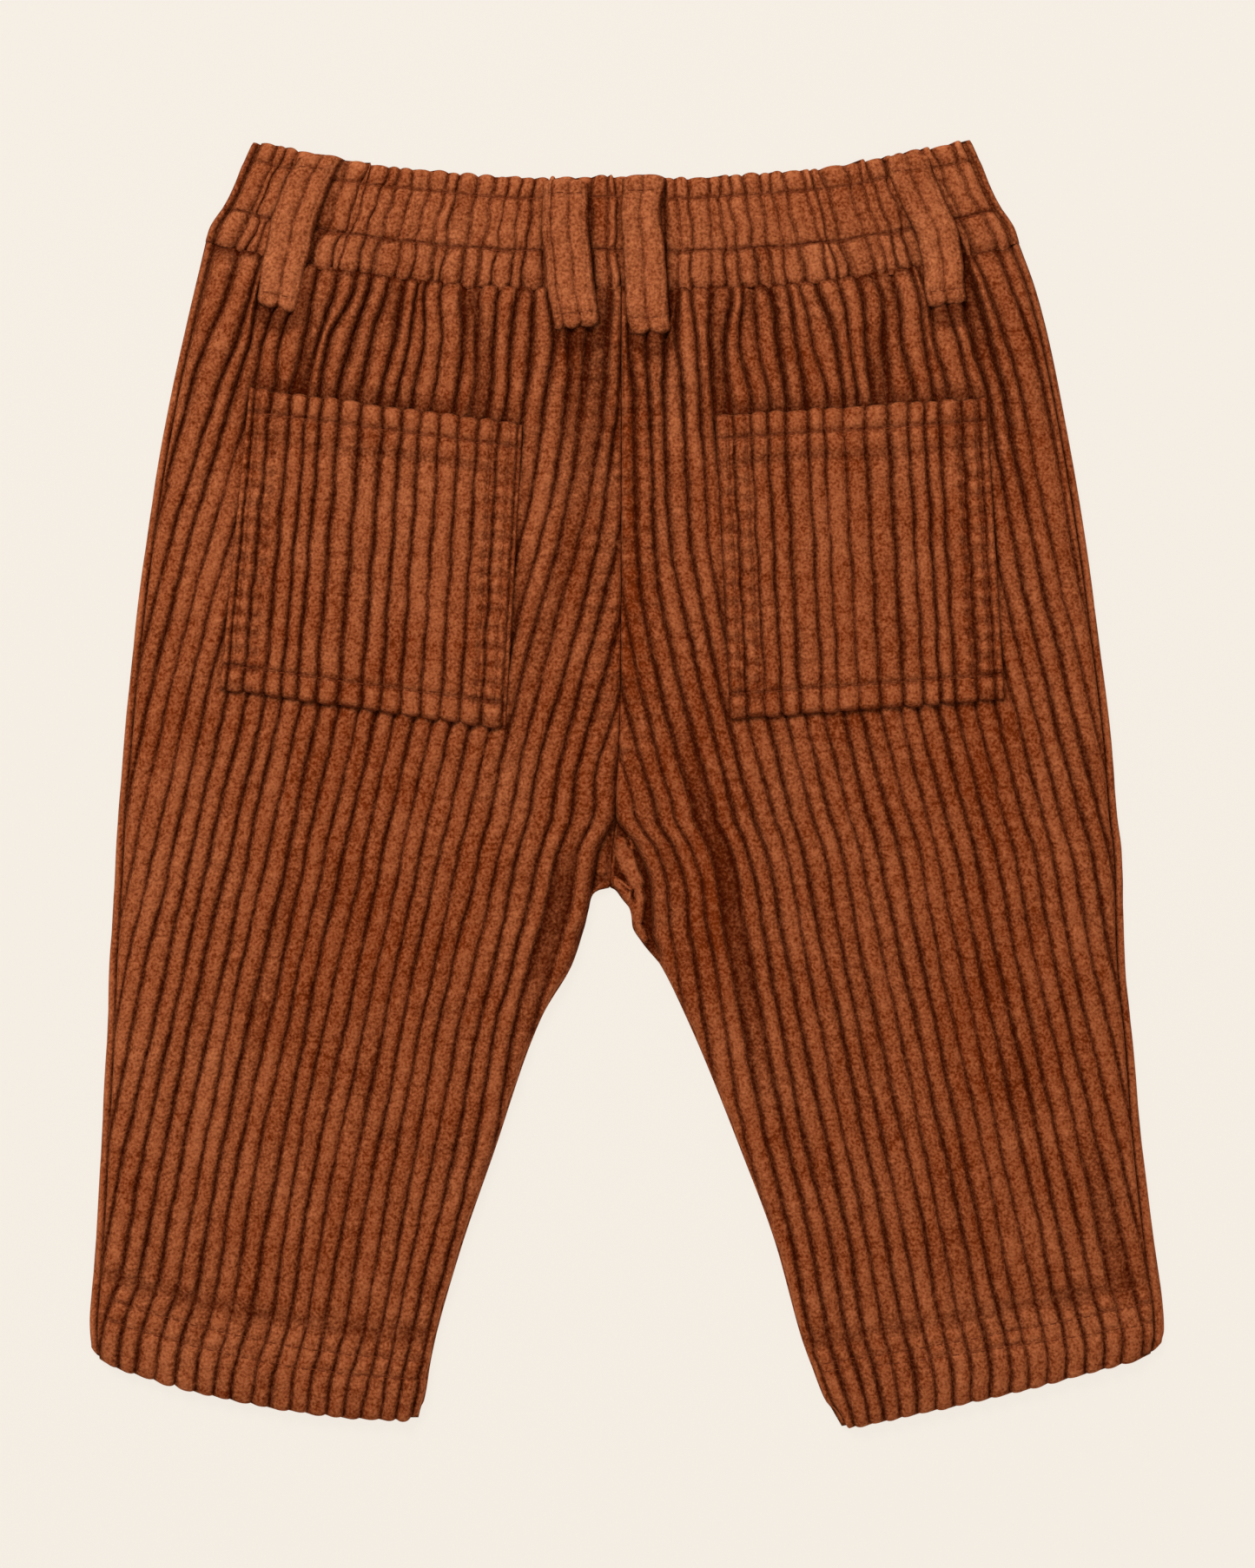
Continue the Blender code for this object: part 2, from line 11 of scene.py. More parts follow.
import bpy
import numpy as np
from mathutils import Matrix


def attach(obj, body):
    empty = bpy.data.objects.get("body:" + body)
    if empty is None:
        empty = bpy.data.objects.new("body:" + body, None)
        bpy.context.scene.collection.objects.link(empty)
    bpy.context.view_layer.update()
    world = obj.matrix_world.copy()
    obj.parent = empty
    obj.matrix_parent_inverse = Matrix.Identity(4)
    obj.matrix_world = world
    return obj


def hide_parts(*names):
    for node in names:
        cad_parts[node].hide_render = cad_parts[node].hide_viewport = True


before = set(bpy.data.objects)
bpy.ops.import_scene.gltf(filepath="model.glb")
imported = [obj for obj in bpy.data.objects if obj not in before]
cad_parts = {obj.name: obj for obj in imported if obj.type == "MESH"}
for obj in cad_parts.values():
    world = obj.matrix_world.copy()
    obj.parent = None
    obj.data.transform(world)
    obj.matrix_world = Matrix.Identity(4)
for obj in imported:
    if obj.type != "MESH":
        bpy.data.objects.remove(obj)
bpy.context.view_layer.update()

MM = 0.001
TAU = 2 * math.pi

# ---------------------------------------------------------------- sizes shared with the solids

SEAM_GAP = 0.3
BACKING = 1.2
SOLID_WALE = 1.1
FRONT_WALL = 1.8
BACK_LOWEST = 2.1
SIDE_ROLL = 11.0
INSEAM_ROLL = 8.0

# Each row is a section across a leg, from the waist seam to the hem edge. first and last are wale numbers,
# crown and edge heights of the back panel's inner face, and strip is what shows of the front panel beside it.
LEG_COLUMNS = (
    "outer_x", "outer_y", "inner_x", "inner_y", "front_x", "sag",
    "first", "last", "crown", "edge", "lift", "strip",
)
LEFT_LEG = (
    (-121.6, 156.0, -1.9, 143.0, -1.9, 4.5, 0.0, 25.5, 4.4, 3.8, -0.5, 2.5),
    (-124.4, 144.5, -1.9, 136.5, -1.9, 3.5, 0.0, 25.5, 5.2, 4.2, 0.2, 2.5),
    (-127.6, 130.7, -1.9, 124.5, -1.9, 2.0, 0.1, 25.5, 5.4, 4.4, 0.1, 2.5),
    (-131.4, 113.2, -1.9, 109.5, -1.9, 1.0, 0.2, 25.5, 5.2, 4.3, 0.0, 2.5),
    (-138.6, 70.7, -1.9, 70.7, -1.9, 0.0, 1.1, 25.9, 5.0, 4.2, 0.0, 2.5),
    (-143.9, 25.7, -2.2, 25.7, -2.0, 0.0, 2.2, 27.4, 5.0, 4.2, 0.0, 2.5),
    (-145.6, 5.7, -2.9, 5.7, -2.7, 0.0, 2.7, 28.7, 5.0, 4.2, 0.0, 2.5),
    (-146.9, -9.2, -3.6, -8.7, -3.5, 0.0, 3.1, 29.8, 4.9, 4.0, 0.0, 2.5),
    (-147.4, -19.2, -8.1, -19.2, -4.6, 0.0, 3.4, 29.8, 4.9, 2.8, 0.0, 2.5),
    (-147.9, -29.7, -10.2, -29.7, -5.4, 0.0, 3.7, 29.8, 4.8, 2.5, 0.0, 2.5),
    (-148.2, -33.0, -10.6, -33.0, -9.9, 0.0, 3.8, 29.7, 4.8, 2.4, 0.0, 2.5),
    (-148.7, -41.7, -12.9, -41.7, -12.5, 0.0, 4.1, 29.5, 4.7, 2.1, 0.0, 2.5),
    (-149.3, -51.7, -16.2, -51.7, -15.8, 0.0, 4.4, 29.0, 4.7, 2.1, 0.0, 2.5),
    (-149.8, -66.7, -25.2, -67.2, -24.7, 0.0, 4.9, 28.2, 4.6, 2.1, 0.0, 2.5),
    (-151.6, -101.7, -39.6, -108.0, -39.1, 0.0, 6.0, 26.3, 4.6, 2.1, 0.0, 2.5),
    (-152.6, -121.7, -48.2, -133.0, -47.7, 1.0, 6.6, 25.9, 4.4, 2.1, 0.0, 2.5),
    (-153.9, -139.7, -56.0, -160.5, -55.5, 3.0, 7.1, 25.8, 3.9, 2.1, -0.4, 2.5),
    (-154.4, -146.7, -57.5, -168.0, -57.0, 3.5, 7.4, 25.8, 3.8, 2.1, 0.1, 2.5),
    (-155.0, -155.5, -58.5, -174.7, -58.0, 4.0, 7.7, 25.8, 3.8, 2.1, 0.4, 2.5),
    (-154.6, -164.7, -60.2, -182.5, -59.7, 4.4, 8.0, 25.8, 3.4, 2.1, -0.1, 2.5),
)
RIGHT_LEG = (
    (112.9, 155.5, -1.6, 143.0, -1.6, 4.5, 0.0, 24.5, 4.4, 3.8, -0.5, 2.5),
    (117.1, 144.5, -1.6, 136.5, -1.6, 3.5, 0.0, 24.5, 5.2, 4.2, 0.2, 2.5),
    (120.9, 130.7, -1.6, 124.5, -1.6, 2.0, 0.0, 24.5, 5.4, 4.4, 0.1, 2.5),
    (124.6, 113.2, -1.6, 109.5, -1.6, 1.0, 0.1, 24.5, 5.2, 4.3, 0.0, 2.5),
    (131.9, 70.7, -1.6, 70.7, -1.6, 0.0, 0.5, 24.7, 5.0, 4.2, 0.0, 2.5),
    (137.9, 25.7, -1.9, 25.7, -1.7, 0.0, 1.4, 26.3, 5.0, 4.2, 0.0, 2.5),
    (140.1, 5.7, -2.6, 5.7, -2.4, 0.0, 1.9, 27.6, 5.0, 4.2, 0.0, 2.5),
    (141.1, -9.2, -3.3, -8.7, -3.2, 0.0, 2.4, 28.7, 4.9, 4.0, 0.0, 2.5),
    (142.4, -19.2, 3.1, -19.2, -4.3, 0.0, 2.7, 28.8, 4.9, 2.8, 0.0, 2.5),
    (142.9, -29.7, 6.6, -29.7, -4.6, 0.0, 3.0, 28.8, 4.8, 2.5, 0.0, 2.5),
    (142.9, -33.0, 6.8, -33.0, -1.4, 0.0, 3.1, 28.8, 4.8, 2.4, 0.0, 2.5),
    (143.0, -41.7, 7.2, -41.7, 2.1, 0.0, 3.4, 28.7, 4.7, 2.1, 0.0, 2.5),
    (143.4, -51.7, 9.9, -51.7, 9.2, 0.0, 3.7, 28.2, 4.7, 2.1, 0.0, 2.5),
    (144.9, -66.7, 17.4, -67.2, 16.9, 0.0, 4.1, 27.3, 4.6, 2.1, 0.0, 2.5),
    (148.1, -101.7, 33.9, -107.5, 33.4, 0.0, 5.1, 25.4, 4.6, 2.1, 0.0, 2.8),
    (150.4, -121.7, 42.9, -131.7, 42.4, 0.5, 5.6, 25.0, 4.4, 2.1, 0.0, 3.0),
    (152.9, -139.2, 50.9, -160.5, 50.4, 1.0, 6.0, 24.6, 3.9, 2.1, -0.4, 3.2),
    (154.1, -148.0, 53.9, -168.7, 53.4, 1.0, 6.2, 24.5, 3.8, 2.1, 0.1, 3.2),
    (154.6, -156.7, 57.0, -176.7, 56.5, 1.0, 6.4, 24.5, 3.8, 2.1, 0.4, 3.2),
    (153.9, -163.2, 61.7, -185.0, 61.2, 1.0, 6.5, 24.4, 3.4, 2.1, -0.1, 3.2),
)

BAND_TOP = {"left": (-108.1, 184.8), "centre": (-1.75, 174.3), "right": (98.9, 185.5), "sag": 3.9}
BAND_SEAM = {"left": (-121.6, 156.4), "centre": (-1.75, 143.4), "right": (112.9, 155.9), "sag": 4.5}
BAND_FRONT_WALL = 3.0
BAND_BACK_INSIDE = BAND_FRONT_WALL + SEAM_GAP
BAND_GATHERS = 50

POCKET_CORNERS = {
    "pocket_left": ((-108.4, 113.0), (-30.1, 102.5), (-34.9, 16.2), (-116.9, 27.7)),
    "pocket_right": ((102.9, 110.2), (25.1, 105.0), (29.4, 19.0), (108.1, 24.7)),
}

# Name, middle of the strap at five equal steps, its width there, slope of its ends, and where its ribs meet.
LOOPS = (
    (
        "belt_loop_1",
        ((-86.9, 181.9), (-92.2, 171.5), (-96.2, 159.0), (-98.9, 147.0), (-100.3, 136.6)),
        (11.4, 12.6, 12.6, 12.4, 11.6),
        (-0.07, -0.24),
        (-0.5, 0.02, 0.5),
    ),
    (
        "belt_loop_2",
        ((-17.6, 174.9), (-17.9, 164.5), (-17.5, 153.5), (-16.0, 142.5), (-14.6, 131.3)),
        (12.6, 13.2, 13.4, 13.4, 12.8),
        (-0.03, 0.1),
        (-0.5, -0.3, 0.09, 0.5),
    ),
    (
        "belt_loop_3",
        ((4.8, 176.2), (3.9, 164.8), (4.7, 153.2), (5.4, 141.6), (6.4, 129.6)),
        (12.6, 11.2, 12.0, 12.2, 11.8),
        (0.02, 0.03),
        (-0.5, -0.02, 0.5),
    ),
    (
        "belt_loop_4",
        ((79.2, 182.1), (83.2, 170.6), (88.2, 159.2), (90.6, 148.6), (91.3, 137.8)),
        (12.2, 12.6, 12.2, 11.6, 11.4),
        (0.09, 0.12),
        (-0.5, 0.0, 0.5),
    ),
)
# Along a loop: share of its length, height of its inner face, height of its outer face in the grooves.
LOOP_ROWS = (
    (0.0, 3.4, 3.4),
    (0.01, 5.4, 6.2),
    (0.03, 6.4, 7.4),
    (0.07, 7.0, 7.9),
    (0.12, 7.2, 8.1),
    (0.24, 7.5, 8.5),
    (0.42, 7.6, 8.6),
    (0.62, 7.5, 8.5),
    (0.78, 7.8, 8.7),
    (0.90, 8.1, 9.0),
    (1.0, 8.1, 9.0),
)

# ---------------------------------------------------------------- the cloth's own finer sizes

WALE_PITCH = 5.5
WALE_DEPTH = 2.0
# Height of the grooves over the backing.
WALE_FLOOR = -0.45
# Where a wale is sampled, as parts of its width, and where a row is sampled beside both its ends, in wales.
WALE_PHASES = (0.0, 0.05, 0.11, 0.18, 0.28, 0.42, 0.58, 0.72, 0.82, 0.89, 0.95)
LEG_RIM = (0.0, 0.03, 0.07, 0.13)
POCKET_RIM = (0.0, 0.03, 0.07, 0.14)
ROW_STEP = 1.25
CORNER = 2.2
# Painted shade on the two flanks of a wale, uneven as if light falls from one side: for the side where its
# number starts and for its other side. A lower value gives a wider shade.
PLAIN_FLANK_SHADE = (1.0, 0.74)
LEFT_FLANK_SHADE = (0.84, 0.78)
RIGHT_FLANK_SHADE = (0.92, 0.64)
GROOVE_START = -0.05
# Shade of the faces that lie inside and underneath, and how much painted light the waistband and the belt loops
# get, as their tops are lit more.
INSIDE_SHADE = 0.3
UNDERSIDE_SHADE = 0.7
BAND_PAINTED_LIGHT = 0.08
LOOP_PAINTED_LIGHT = 0.17
# Salts pick the fixed draws that make the wales uneven.
LEFT_SALT = 1
RIGHT_SALT = 101
BAND_SALT = 200
POCKET_SALT = 301
LOOP_SALT = 501

# The seams are gaps in the solids. Here the cloth on both sides moves up to the seam line.
SEAM_CLOSE = 0.14
WAIST_CLOSE = 0.36
CENTRE_SEAM_END = 165.0
# Lengths of the beads and of the dents along the centre seam.
SEAM_BEAD = 5.4
SEAM_STITCH = 4.4
# The front panels' seam lies a little aside of the back's, down to where it shows behind the crotch.
FRONT_SEAM_ASIDE = 0.25
FRONT_SEAM_OVERLAP = 0.03
FRONT_SEAM_SHOWS = (155.0, 165.0)
# From here down the inner edge of a leg wavers.
NOTCH_DOWN = 187.0
# The rounded top of the notch between the legs: distance below Y = 0, and X of the front panel's edge.
NOTCH_TOP = 29.9
LEFT_NOTCH = ((29.9, -5.0), (30.2, -6.6), (30.8, -8.6), (31.8, -9.9), (33.4, -10.6), (36.0, -11.1))
RIGHT_NOTCH = (
    (29.9, -5.0), (30.4, -3.8), (31.3, -2.9), (32.6, -2.0), (34.0, -0.9),
    (35.8, 0.5), (38.0, 1.1), (41.0, 1.4), (45.3, 3.9), (51.7, 9.2),
)
# Rolls of the front panels where the seams meet at the crotch: height, half-width and line in plan.
LEFT_CROTCH = (
    (1.0, 0.7, ((-3.4, -8.0), (-4.1, -19.0), (-4.8, -27.5))),
    (1.0, 1.7, ((-6.4, -15.5), (-7.3, -20.0), (-7.6, -25.0))),
    (1.0, 0.9, ((-10.0, -31.6), (-7.6, -29.6), (-5.0, -28.9))),
)
RIGHT_CROTCH = (
    (1.0, 0.7, ((-3.4, -8.0), (-4.1, -19.0), (-4.8, -27.5))),
    (2.3, 2.0, ((-1.9, -17.0), (-1.2, -19.5))),
    (2.4, 2.8, ((-1.0, -20.0), (0.4, -24.0))),
    (2.4, 2.4, ((0.6, -24.3), (2.6, -28.3))),
    (2.2, 1.5, ((2.9, -28.6), (3.7, -33.5), (3.1, -39.0))),
    (1.8, 1.3, ((-3.6, -27.8), (-0.7, -31.6), (1.7, -35.8), (2.7, -40.3), (4.6, -44.5))),
    (2.7, 0.45, ((-1.9, -28.0), (0.9, -30.4), (0.3, -33.4))),
    (1.0, 0.6, ((0.2, -13.0), (1.6, -18.5))),
)
# Shade of the front panels between those rolls.
LEFT_CROTCH_LIGHT = 0.35
RIGHT_CROTCH_LIGHT = 0.08

# Where the grooves lie in the gathers, in X, at three levels in Y: just below the waist seam, half way to the
# pocket and beside its mouth. From GATHER_END down the leg the wales are evenly spread. GATHER_DOWNS are the
# least distances down the leg that the three levels count as.
GATHER_END = 105.0
GATHER_DOWNS = (0.5, 6.0, 12.0)
# Where the deeper and darker wales of the gathers fade out, and where the wales begin to keep their width.
GATHERS_FADE = (25.0, 80.0)
STEADY_FROM = (60.0, 120.0)
# The higher this power, the closer to the inner edge the wales crowd together.
CROWDING = 5
LEFT_LEVELS = (141.5, 126.2, 113.2)
LEFT_GROOVES = (
    (
        -114.6, -107.7, -105.4, -100.1, -95.1, -90.1, -84.1, -78.6, -74.4, -69.1, -64.4, -60.6,
        -58.2, -53.5, -47.2, -42.6, -37.0, -31.6, -26.8, -22.7, -17.1, -10.9, -4.9, -2.2,
    ),
    (
        -120.9, -112.5, -108.6, -104.6, -99.9, -93.0, -89.1, -86.1, -79.6, -73.9, -67.0, -62.8,
        -58.4, -53.5, -47.2, -43.3, -38.5, -33.7, -27.7, -21.2, -16.8, -11.4, -5.8, -2.2,
    ),
    (
        -125.5, -117.7, -112.9, -107.3, -101.2, -96.1, -92.1, -88.2, -82.9, -76.6, -70.6, -65.6,
        -61.3, -55.2, -48.7, -43.7, -39.1, -34.2, -29.2, -23.3, -17.1, -12.7, -6.9, -2.8,
    ),
)
RIGHT_LEVELS = (141.5, 126.2, 112.0)
RIGHT_GROOVES = (
    (
        110.6, 103.4, 100.1, 95.6, 90.6, 85.9, 83.3, 77.3, 72.7, 67.1, 61.2, 54.8,
        50.0, 46.1, 41.1, 36.1, 33.1, 29.9, 24.0, 18.1, 14.6, 12.4, 6.4, 1.0,
    ),
    (
        116.3, 108.9, 104.3, 99.1, 95.0, 88.5, 85.3, 78.8, 73.6, 68.4, 64.0, 59.9,
        53.3, 48.7, 43.5, 37.6, 32.3, 28.1, 23.8, 20.1, 14.3, 10.8, 5.4, 0.4,
    ),
    (
        119.9, 113.1, 108.0, 103.3, 98.3, 92.1, 87.9, 82.4, 75.3, 70.3, 65.8, 61.9,
        57.4, 50.9, 45.4, 40.4, 35.3, 29.1, 24.9, 20.8, 16.0, 10.6, 6.3, 1.9,
    ),
)
# By distance down the leg, how many wales fewer than the solid the cloth has. Beside the crotch the innermost
# wale keeps to the edge.
LEFT_FEWER = (
    (0.0, 1.9), (37.0, 1.4), (60.0, 1.1), (130.0, 0.4), (150.0, 0.7), (165.2, 1.8), (185.7, 1.8),
    (189.0, 1.7), (197.7, 1.5), (207.7, 1.1), (222.7, 1.0), (257.7, 0.4), (360.0, 0.4),
)
RIGHT_FEWER = (
    (0.0, 0.0), (85.0, 0.0), (130.0, 0.2), (150.0, 0.4), (164.7, 0.7), (175.0, 0.8),
    (189.0, 0.8), (197.2, 0.7), (207.2, 0.35), (222.2, 0.5), (257.2, 0.2), (360.0, 0.2),
)
# Wales sunk between their neighbours: how deep at the seam and at two lower levels, and where that ends.
FOLD_COLUMNS = ("wale", "seam", "mid", "low", "foot")
FOLD_DOWNS = (0.0, 8.0, 24.0, 37.0)
LEFT_FOLDS = (
    (0.5, 0.1, 0.3, 0.3, 90.0),
    (3.5, 1.2, 0.9, 0.6, 75.0),
    (6.5, 0.5, 1.3, 2.0, 62.0),
    (8.4, 0.5, 0.0, 0.0, 50.0),
    (10.5, 1.1, 0.5, 0.2, 58.0),
    (12.5, 0.4, 0.0, 0.1, 50.0),
    (15.5, 1.9, 1.0, 0.1, 50.0),
    (16.5, 0.1, 1.1, 1.2, 66.0),
    (18.5, 0.5, 0.1, 0.1, 50.0),
    (20.5, 0.3, 0.7, 0.4, 70.0),
    (21.5, 1.0, 0.8, 1.1, 84.0),
    (22.5, 0.8, 1.1, 1.0, 88.0),
    (23.0, 0.7, 0.5, 0.4, 95.0),
)
RIGHT_FOLDS = (
    (0.5, 0.1, 0.2, 0.3, 90.0),
    (3.5, 1.4, 1.2, 0.5, 70.0),
    (6.5, 0.6, 0.5, 0.3, 62.0),
    (8.5, 1.3, 0.5, 0.3, 60.0),
    (9.5, 0.3, 0.9, 1.5, 66.0),
    (12.4, 0.5, 0.1, 0.2, 50.0),
    (14.5, 0.4, 0.1, 0.1, 50.0),
    (16.5, 1.4, 0.4, 0.2, 50.0),
    (18.5, 0.9, 1.3, 1.4, 74.0),
    (19.5, 0.3, 0.5, 0.5, 66.0),
    (21.5, 1.9, 0.5, 0.2, 48.0),
    (24.2, 0.6, 0.5, 0.4, 90.0),
)
MOST_FOLD = 2.2
# Sunk wales further down: wale, how deep, and where along the leg that starts, is deepest and ends.
VALLEY_COLUMNS = ("wale", "deep", "start", "middle", "foot")
LEFT_VALLEYS = (
    (26.5, 1.9, 160.0, 192.0, 235.0),
    (22.5, 0.9, 60.0, 95.0, 175.0),
    (20.5, 0.7, 84.0, 100.0, 140.0),
    (18.5, 0.4, 200.0, 240.0, 290.0),
    (12.5, 0.35, 150.0, 200.0, 260.0),
)
RIGHT_VALLEYS = (
    (23.5, 1.8, 118.0, 180.0, 265.0),
    (7.5, 1.2, 240.0, 285.0, 306.0),
    (26.5, 0.5, 150.0, 180.0, 215.0),
    (17.5, 0.5, 170.0, 215.0, 280.0),
    (10.5, 0.35, 180.0, 230.0, 290.0),
)

# Soft creases across the wales: depth, half-width and line in plan.
CREASES = (
    (0.6, 1.3, ((-70.0, -101.5), (-57.0, -105.5), (-44.5, -104.5))),
    (0.4, 1.6, ((-128.0, -62.0), (-112.0, -65.5), (-98.0, -64.5))),
    (0.4, 1.5, ((-40.0, -62.0), (-52.0, -66.0), (-61.0, -66.5))),
    (0.4, 1.6, ((66.0, -92.0), (80.0, -96.0), (95.0, -95.5))),
    (0.35, 1.6, ((108.0, -38.0), (121.0, -40.0), (133.0, -38.5))),
)

# Stitching across the hems: distance down the leg at its side edge and at its inner edge, for each line.
LEFT_HEM_LINES = ((302.4, 300.6), (308.2, 306.8))
RIGHT_HEM_LINES = ((303.6, 301.4), (309.4, 303.8))
# How far above the first line of stitches the turned-up cloth inside ends, which shows as a dent.
HEM_DENT = 6.0

# Where the grooves of the pockets lie, as shares across from the outer edge.
POCKET_GROOVES = {
    "pocket_left": (
        0.025, 0.083, 0.157, 0.216, 0.269, 0.336, 0.414, 0.494, 0.562, 0.630, 0.701, 0.772, 0.840, 0.914,
        0.985,
    ),
    "pocket_right": (
        0.032, 0.096, 0.178, 0.232, 0.293, 0.366, 0.452, 0.529, 0.602, 0.662, 0.745, 0.809, 0.869, 0.936,
    ),
}
# Lines of stitching: distance from the pocket's top edge, from its foot and from its sides.
POCKET_TOP_LINE = 6.3
POCKET_FOOT_LINE = 6.6
POCKET_SIDE_LINES = (3.4, 8.6)
POCKET_DENT = 13.6
# Down a pocket: distance below its top edge, and what is added to the outer face there.
POCKET_LIFTS = (
    (0.0, 0.0),
    (1.5, 0.5),
    (4.2, 0.55),
    (6.3, 0.1),
    (8.5, 0.5),
    (11.5, 0.25),
    (13.6, -0.45),
    (16.5, 0.05),
    (70.0, 0.0),
    (78.0, 0.3),
    (81.5, -0.1),
    (84.5, 0.3),
    (88.0, 0.0),
)
# Between the lines of stitching down its sides a pocket's wales are drawn up into beads.
BEAD_LENGTH = 5.2
BEADED_WIDTH = 9.0

# The waistband: its height, how far its back half's ends are held back, and about how wide a gather is.
BAND_HEIGHT = 30
BAND_INSET = 2.8
BAND_PITCH = 4.4
# Lines of stitching, as shares down the waistband and along a belt loop.
FIRST_STITCH = 0.18
SECOND_STITCH = 0.67
LOOP_TOP_LINE = 0.13
LOOP_FOOT_LINE = 0.915

# Broad patches of painted light and painted shade on the colour: middle, half-widths and strength of each.
LIGHT_AND_SHADE_PATCHES = (
    (0.0, 22.0, 22.0, 40.0, -0.14),
    (-6.5, 165.0, 6.0, 14.0, -0.22),
    (-22.0, 95.0, 5.0, 42.0, 0.07),
    (1.2, 78.0, 2.8, 42.0, -0.22),
    (-7.0, 50.0, 4.5, 65.0, 0.12),
    (-17.0, 122.0, 4.0, 9.0, -0.20),
    (-9.0, 122.0, 4.0, 9.0, 0.24),
    (13.0, 116.0, 5.0, 14.0, 0.14),
    (-32.0, -20.0, 7.0, 60.0, 0.08),
    (14.0, 60.0, 7.0, 70.0, 0.06),
    (-65.0, -20.0, 45.0, 60.0, -0.05),
    (-138.0, 5.0, 14.0, 30.0, -0.12),
    (22.0, -26.0, 13.0, 42.0, -0.24),
    (-105.0, -160.0, 50.0, 10.0, 0.12),
    (108.0, -156.0, 50.0, 10.0, 0.10),
    (-60.0, 150.0, 60.0, 14.0, 0.10),
    (60.0, 150.0, 50.0, 14.0, 0.08),
    (-70.0, 80.0, 30.0, 22.0, 0.10),
    (-80.0, -30.0, 16.0, 40.0, -0.08),
    (-135.0, -40.0, 20.0, 110.0, 0.10),
    (105.0, -60.0, 20.0, 60.0, -0.12),
    (100.0, 20.0, 16.0, 30.0, -0.10),
)


# ---------------------------------------------------------------- small tools


def named(columns, rows):
    return [dict(zip(columns, row)) for row in rows]


def smooth(places, values):
    """A curve through the given values that does not overshoot them."""
    xs = np.asarray(places, float)
    ys = np.asarray(values, float)
    steps = np.diff(xs)
    slopes = np.diff(ys) / steps
    tangent = np.zeros(len(xs))
    for i in range(1, len(xs) - 1):
        if slopes[i - 1] * slopes[i] > 0:
            before = 2 * steps[i] + steps[i - 1]
            after = steps[i] + 2 * steps[i - 1]
            tangent[i] = (before + after) / (before / slopes[i - 1] + after / slopes[i])
    tangent[0], tangent[-1] = slopes[0], slopes[-1]

    def at(x):
        x = np.clip(x, xs[0], xs[-1])
        i = np.clip(np.searchsorted(xs, x) - 1, 0, len(steps) - 1)
        u = (x - xs[i]) / steps[i]
        return (
            ys[i] * (1 + 2 * u) * (1 - u) ** 2
            + ys[i + 1] * u**2 * (3 - 2 * u)
            + steps[i] * (tangent[i] * u * (1 - u) ** 2 - tangent[i + 1] * u**2 * (1 - u))
        )

    return at


def ease(low, high, value):
    """0 below low, 1 above high, and a soft step between."""
    u = np.clip((np.asarray(value, float) - low) / (high - low), 0, 1)
    return u * u * (3 - 2 * u)


def fade(low, high, value):
    """1 below low, 0 above high."""
    return 1 - ease(low, high, value)


def rise(distance, reach):
    """0 at an edge, rising like a quarter circle to 1 at this distance from it."""
    return np.sqrt(np.maximum(0.0, 1 - (1 - np.clip(distance / reach, 0, 1)) ** 2))


def near(value, middle, width):
    """1 at the middle, falling off to both sides like a bell of this width."""
    return np.exp(-(((value - middle) / width) ** 2))


def chance(number, salt):
    """A fixed number between 0 and 1 for each whole number and salt."""
    value = np.sin(np.asarray(number, float) * 12.9898 + salt * 78.233) * 43758.5453
    return value - np.floor(value)


def wave(number, along, lengths, salt):
    """A slow, irregular wave along each numbered wale, between about -1 and 1."""
    total = 0.0
    for i, length in enumerate(lengths):
        stretch = length * (0.8 + 0.4 * chance(number, salt + 3 * i))
        total = total + np.sin(TAU * (along / stretch + chance(number, salt + 3 * i + 1)))
    return total / len(lengths)


def blended_wave(place, along, lengths, salt):
    """wave() of the grooves on both sides of a place, mixed by how near each is."""
    groove = np.floor(place)
    part = place - groove
    return (1 - part) * wave(groove, along, lengths, salt) + part * wave(groove + 1, along, lengths, salt)


class Draws:
    """chance() and wave() for the wales of one row.

    Each use has a salt of its own, added to that of the piece.
    """

    def __init__(self, number, along, salt):
        self.number, self.along, self.salt = number, along, salt

    def chance(self, salt):
        return chance(self.number, self.salt + salt)

    def wave(self, salt, *lengths):
        return wave(self.number, self.along, lengths, self.salt + salt)


def joined(x, y, z):
    """Points from their coordinates. z may be one height for all."""
    return np.stack([x, y, np.broadcast_to(z, np.shape(x))], axis=1)


def distance_to(x, y, line):
    """Distance of places in plan from a line of points."""
    nearest = np.full(np.shape(x), 1e6)
    for (ax, ay), (bx, by) in zip(line, line[1:]):
        length = (bx - ax) ** 2 + (by - ay) ** 2
        along = np.clip(((x - ax) * (bx - ax) + (y - ay) * (by - ay)) / length, 0, 1)
        nearest = np.minimum(nearest, np.hypot(x - ax - along * (bx - ax), y - ay - along * (by - ay)))
    return nearest


# ---------------------------------------------------------------- the look of a wale


def wale_profile(part, power=2.2, root=0.72):
    """0 in the grooves at both sides of a wale and 1 on its rounded top."""
    return np.maximum(0.0, 1 - np.abs(2 * part - 1) ** power) ** root


def groove_shade(part, reach=0.17):
    """Painted shade: 0 in the grooves, 1 on the pile between them. One side of a wale is painted lighter, as
    light falls from that side.
    """
    return ease(GROOVE_START, reach, np.minimum(PLAIN_FLANK_SHADE[0] * part, PLAIN_FLANK_SHADE[1] * (1 - part)))


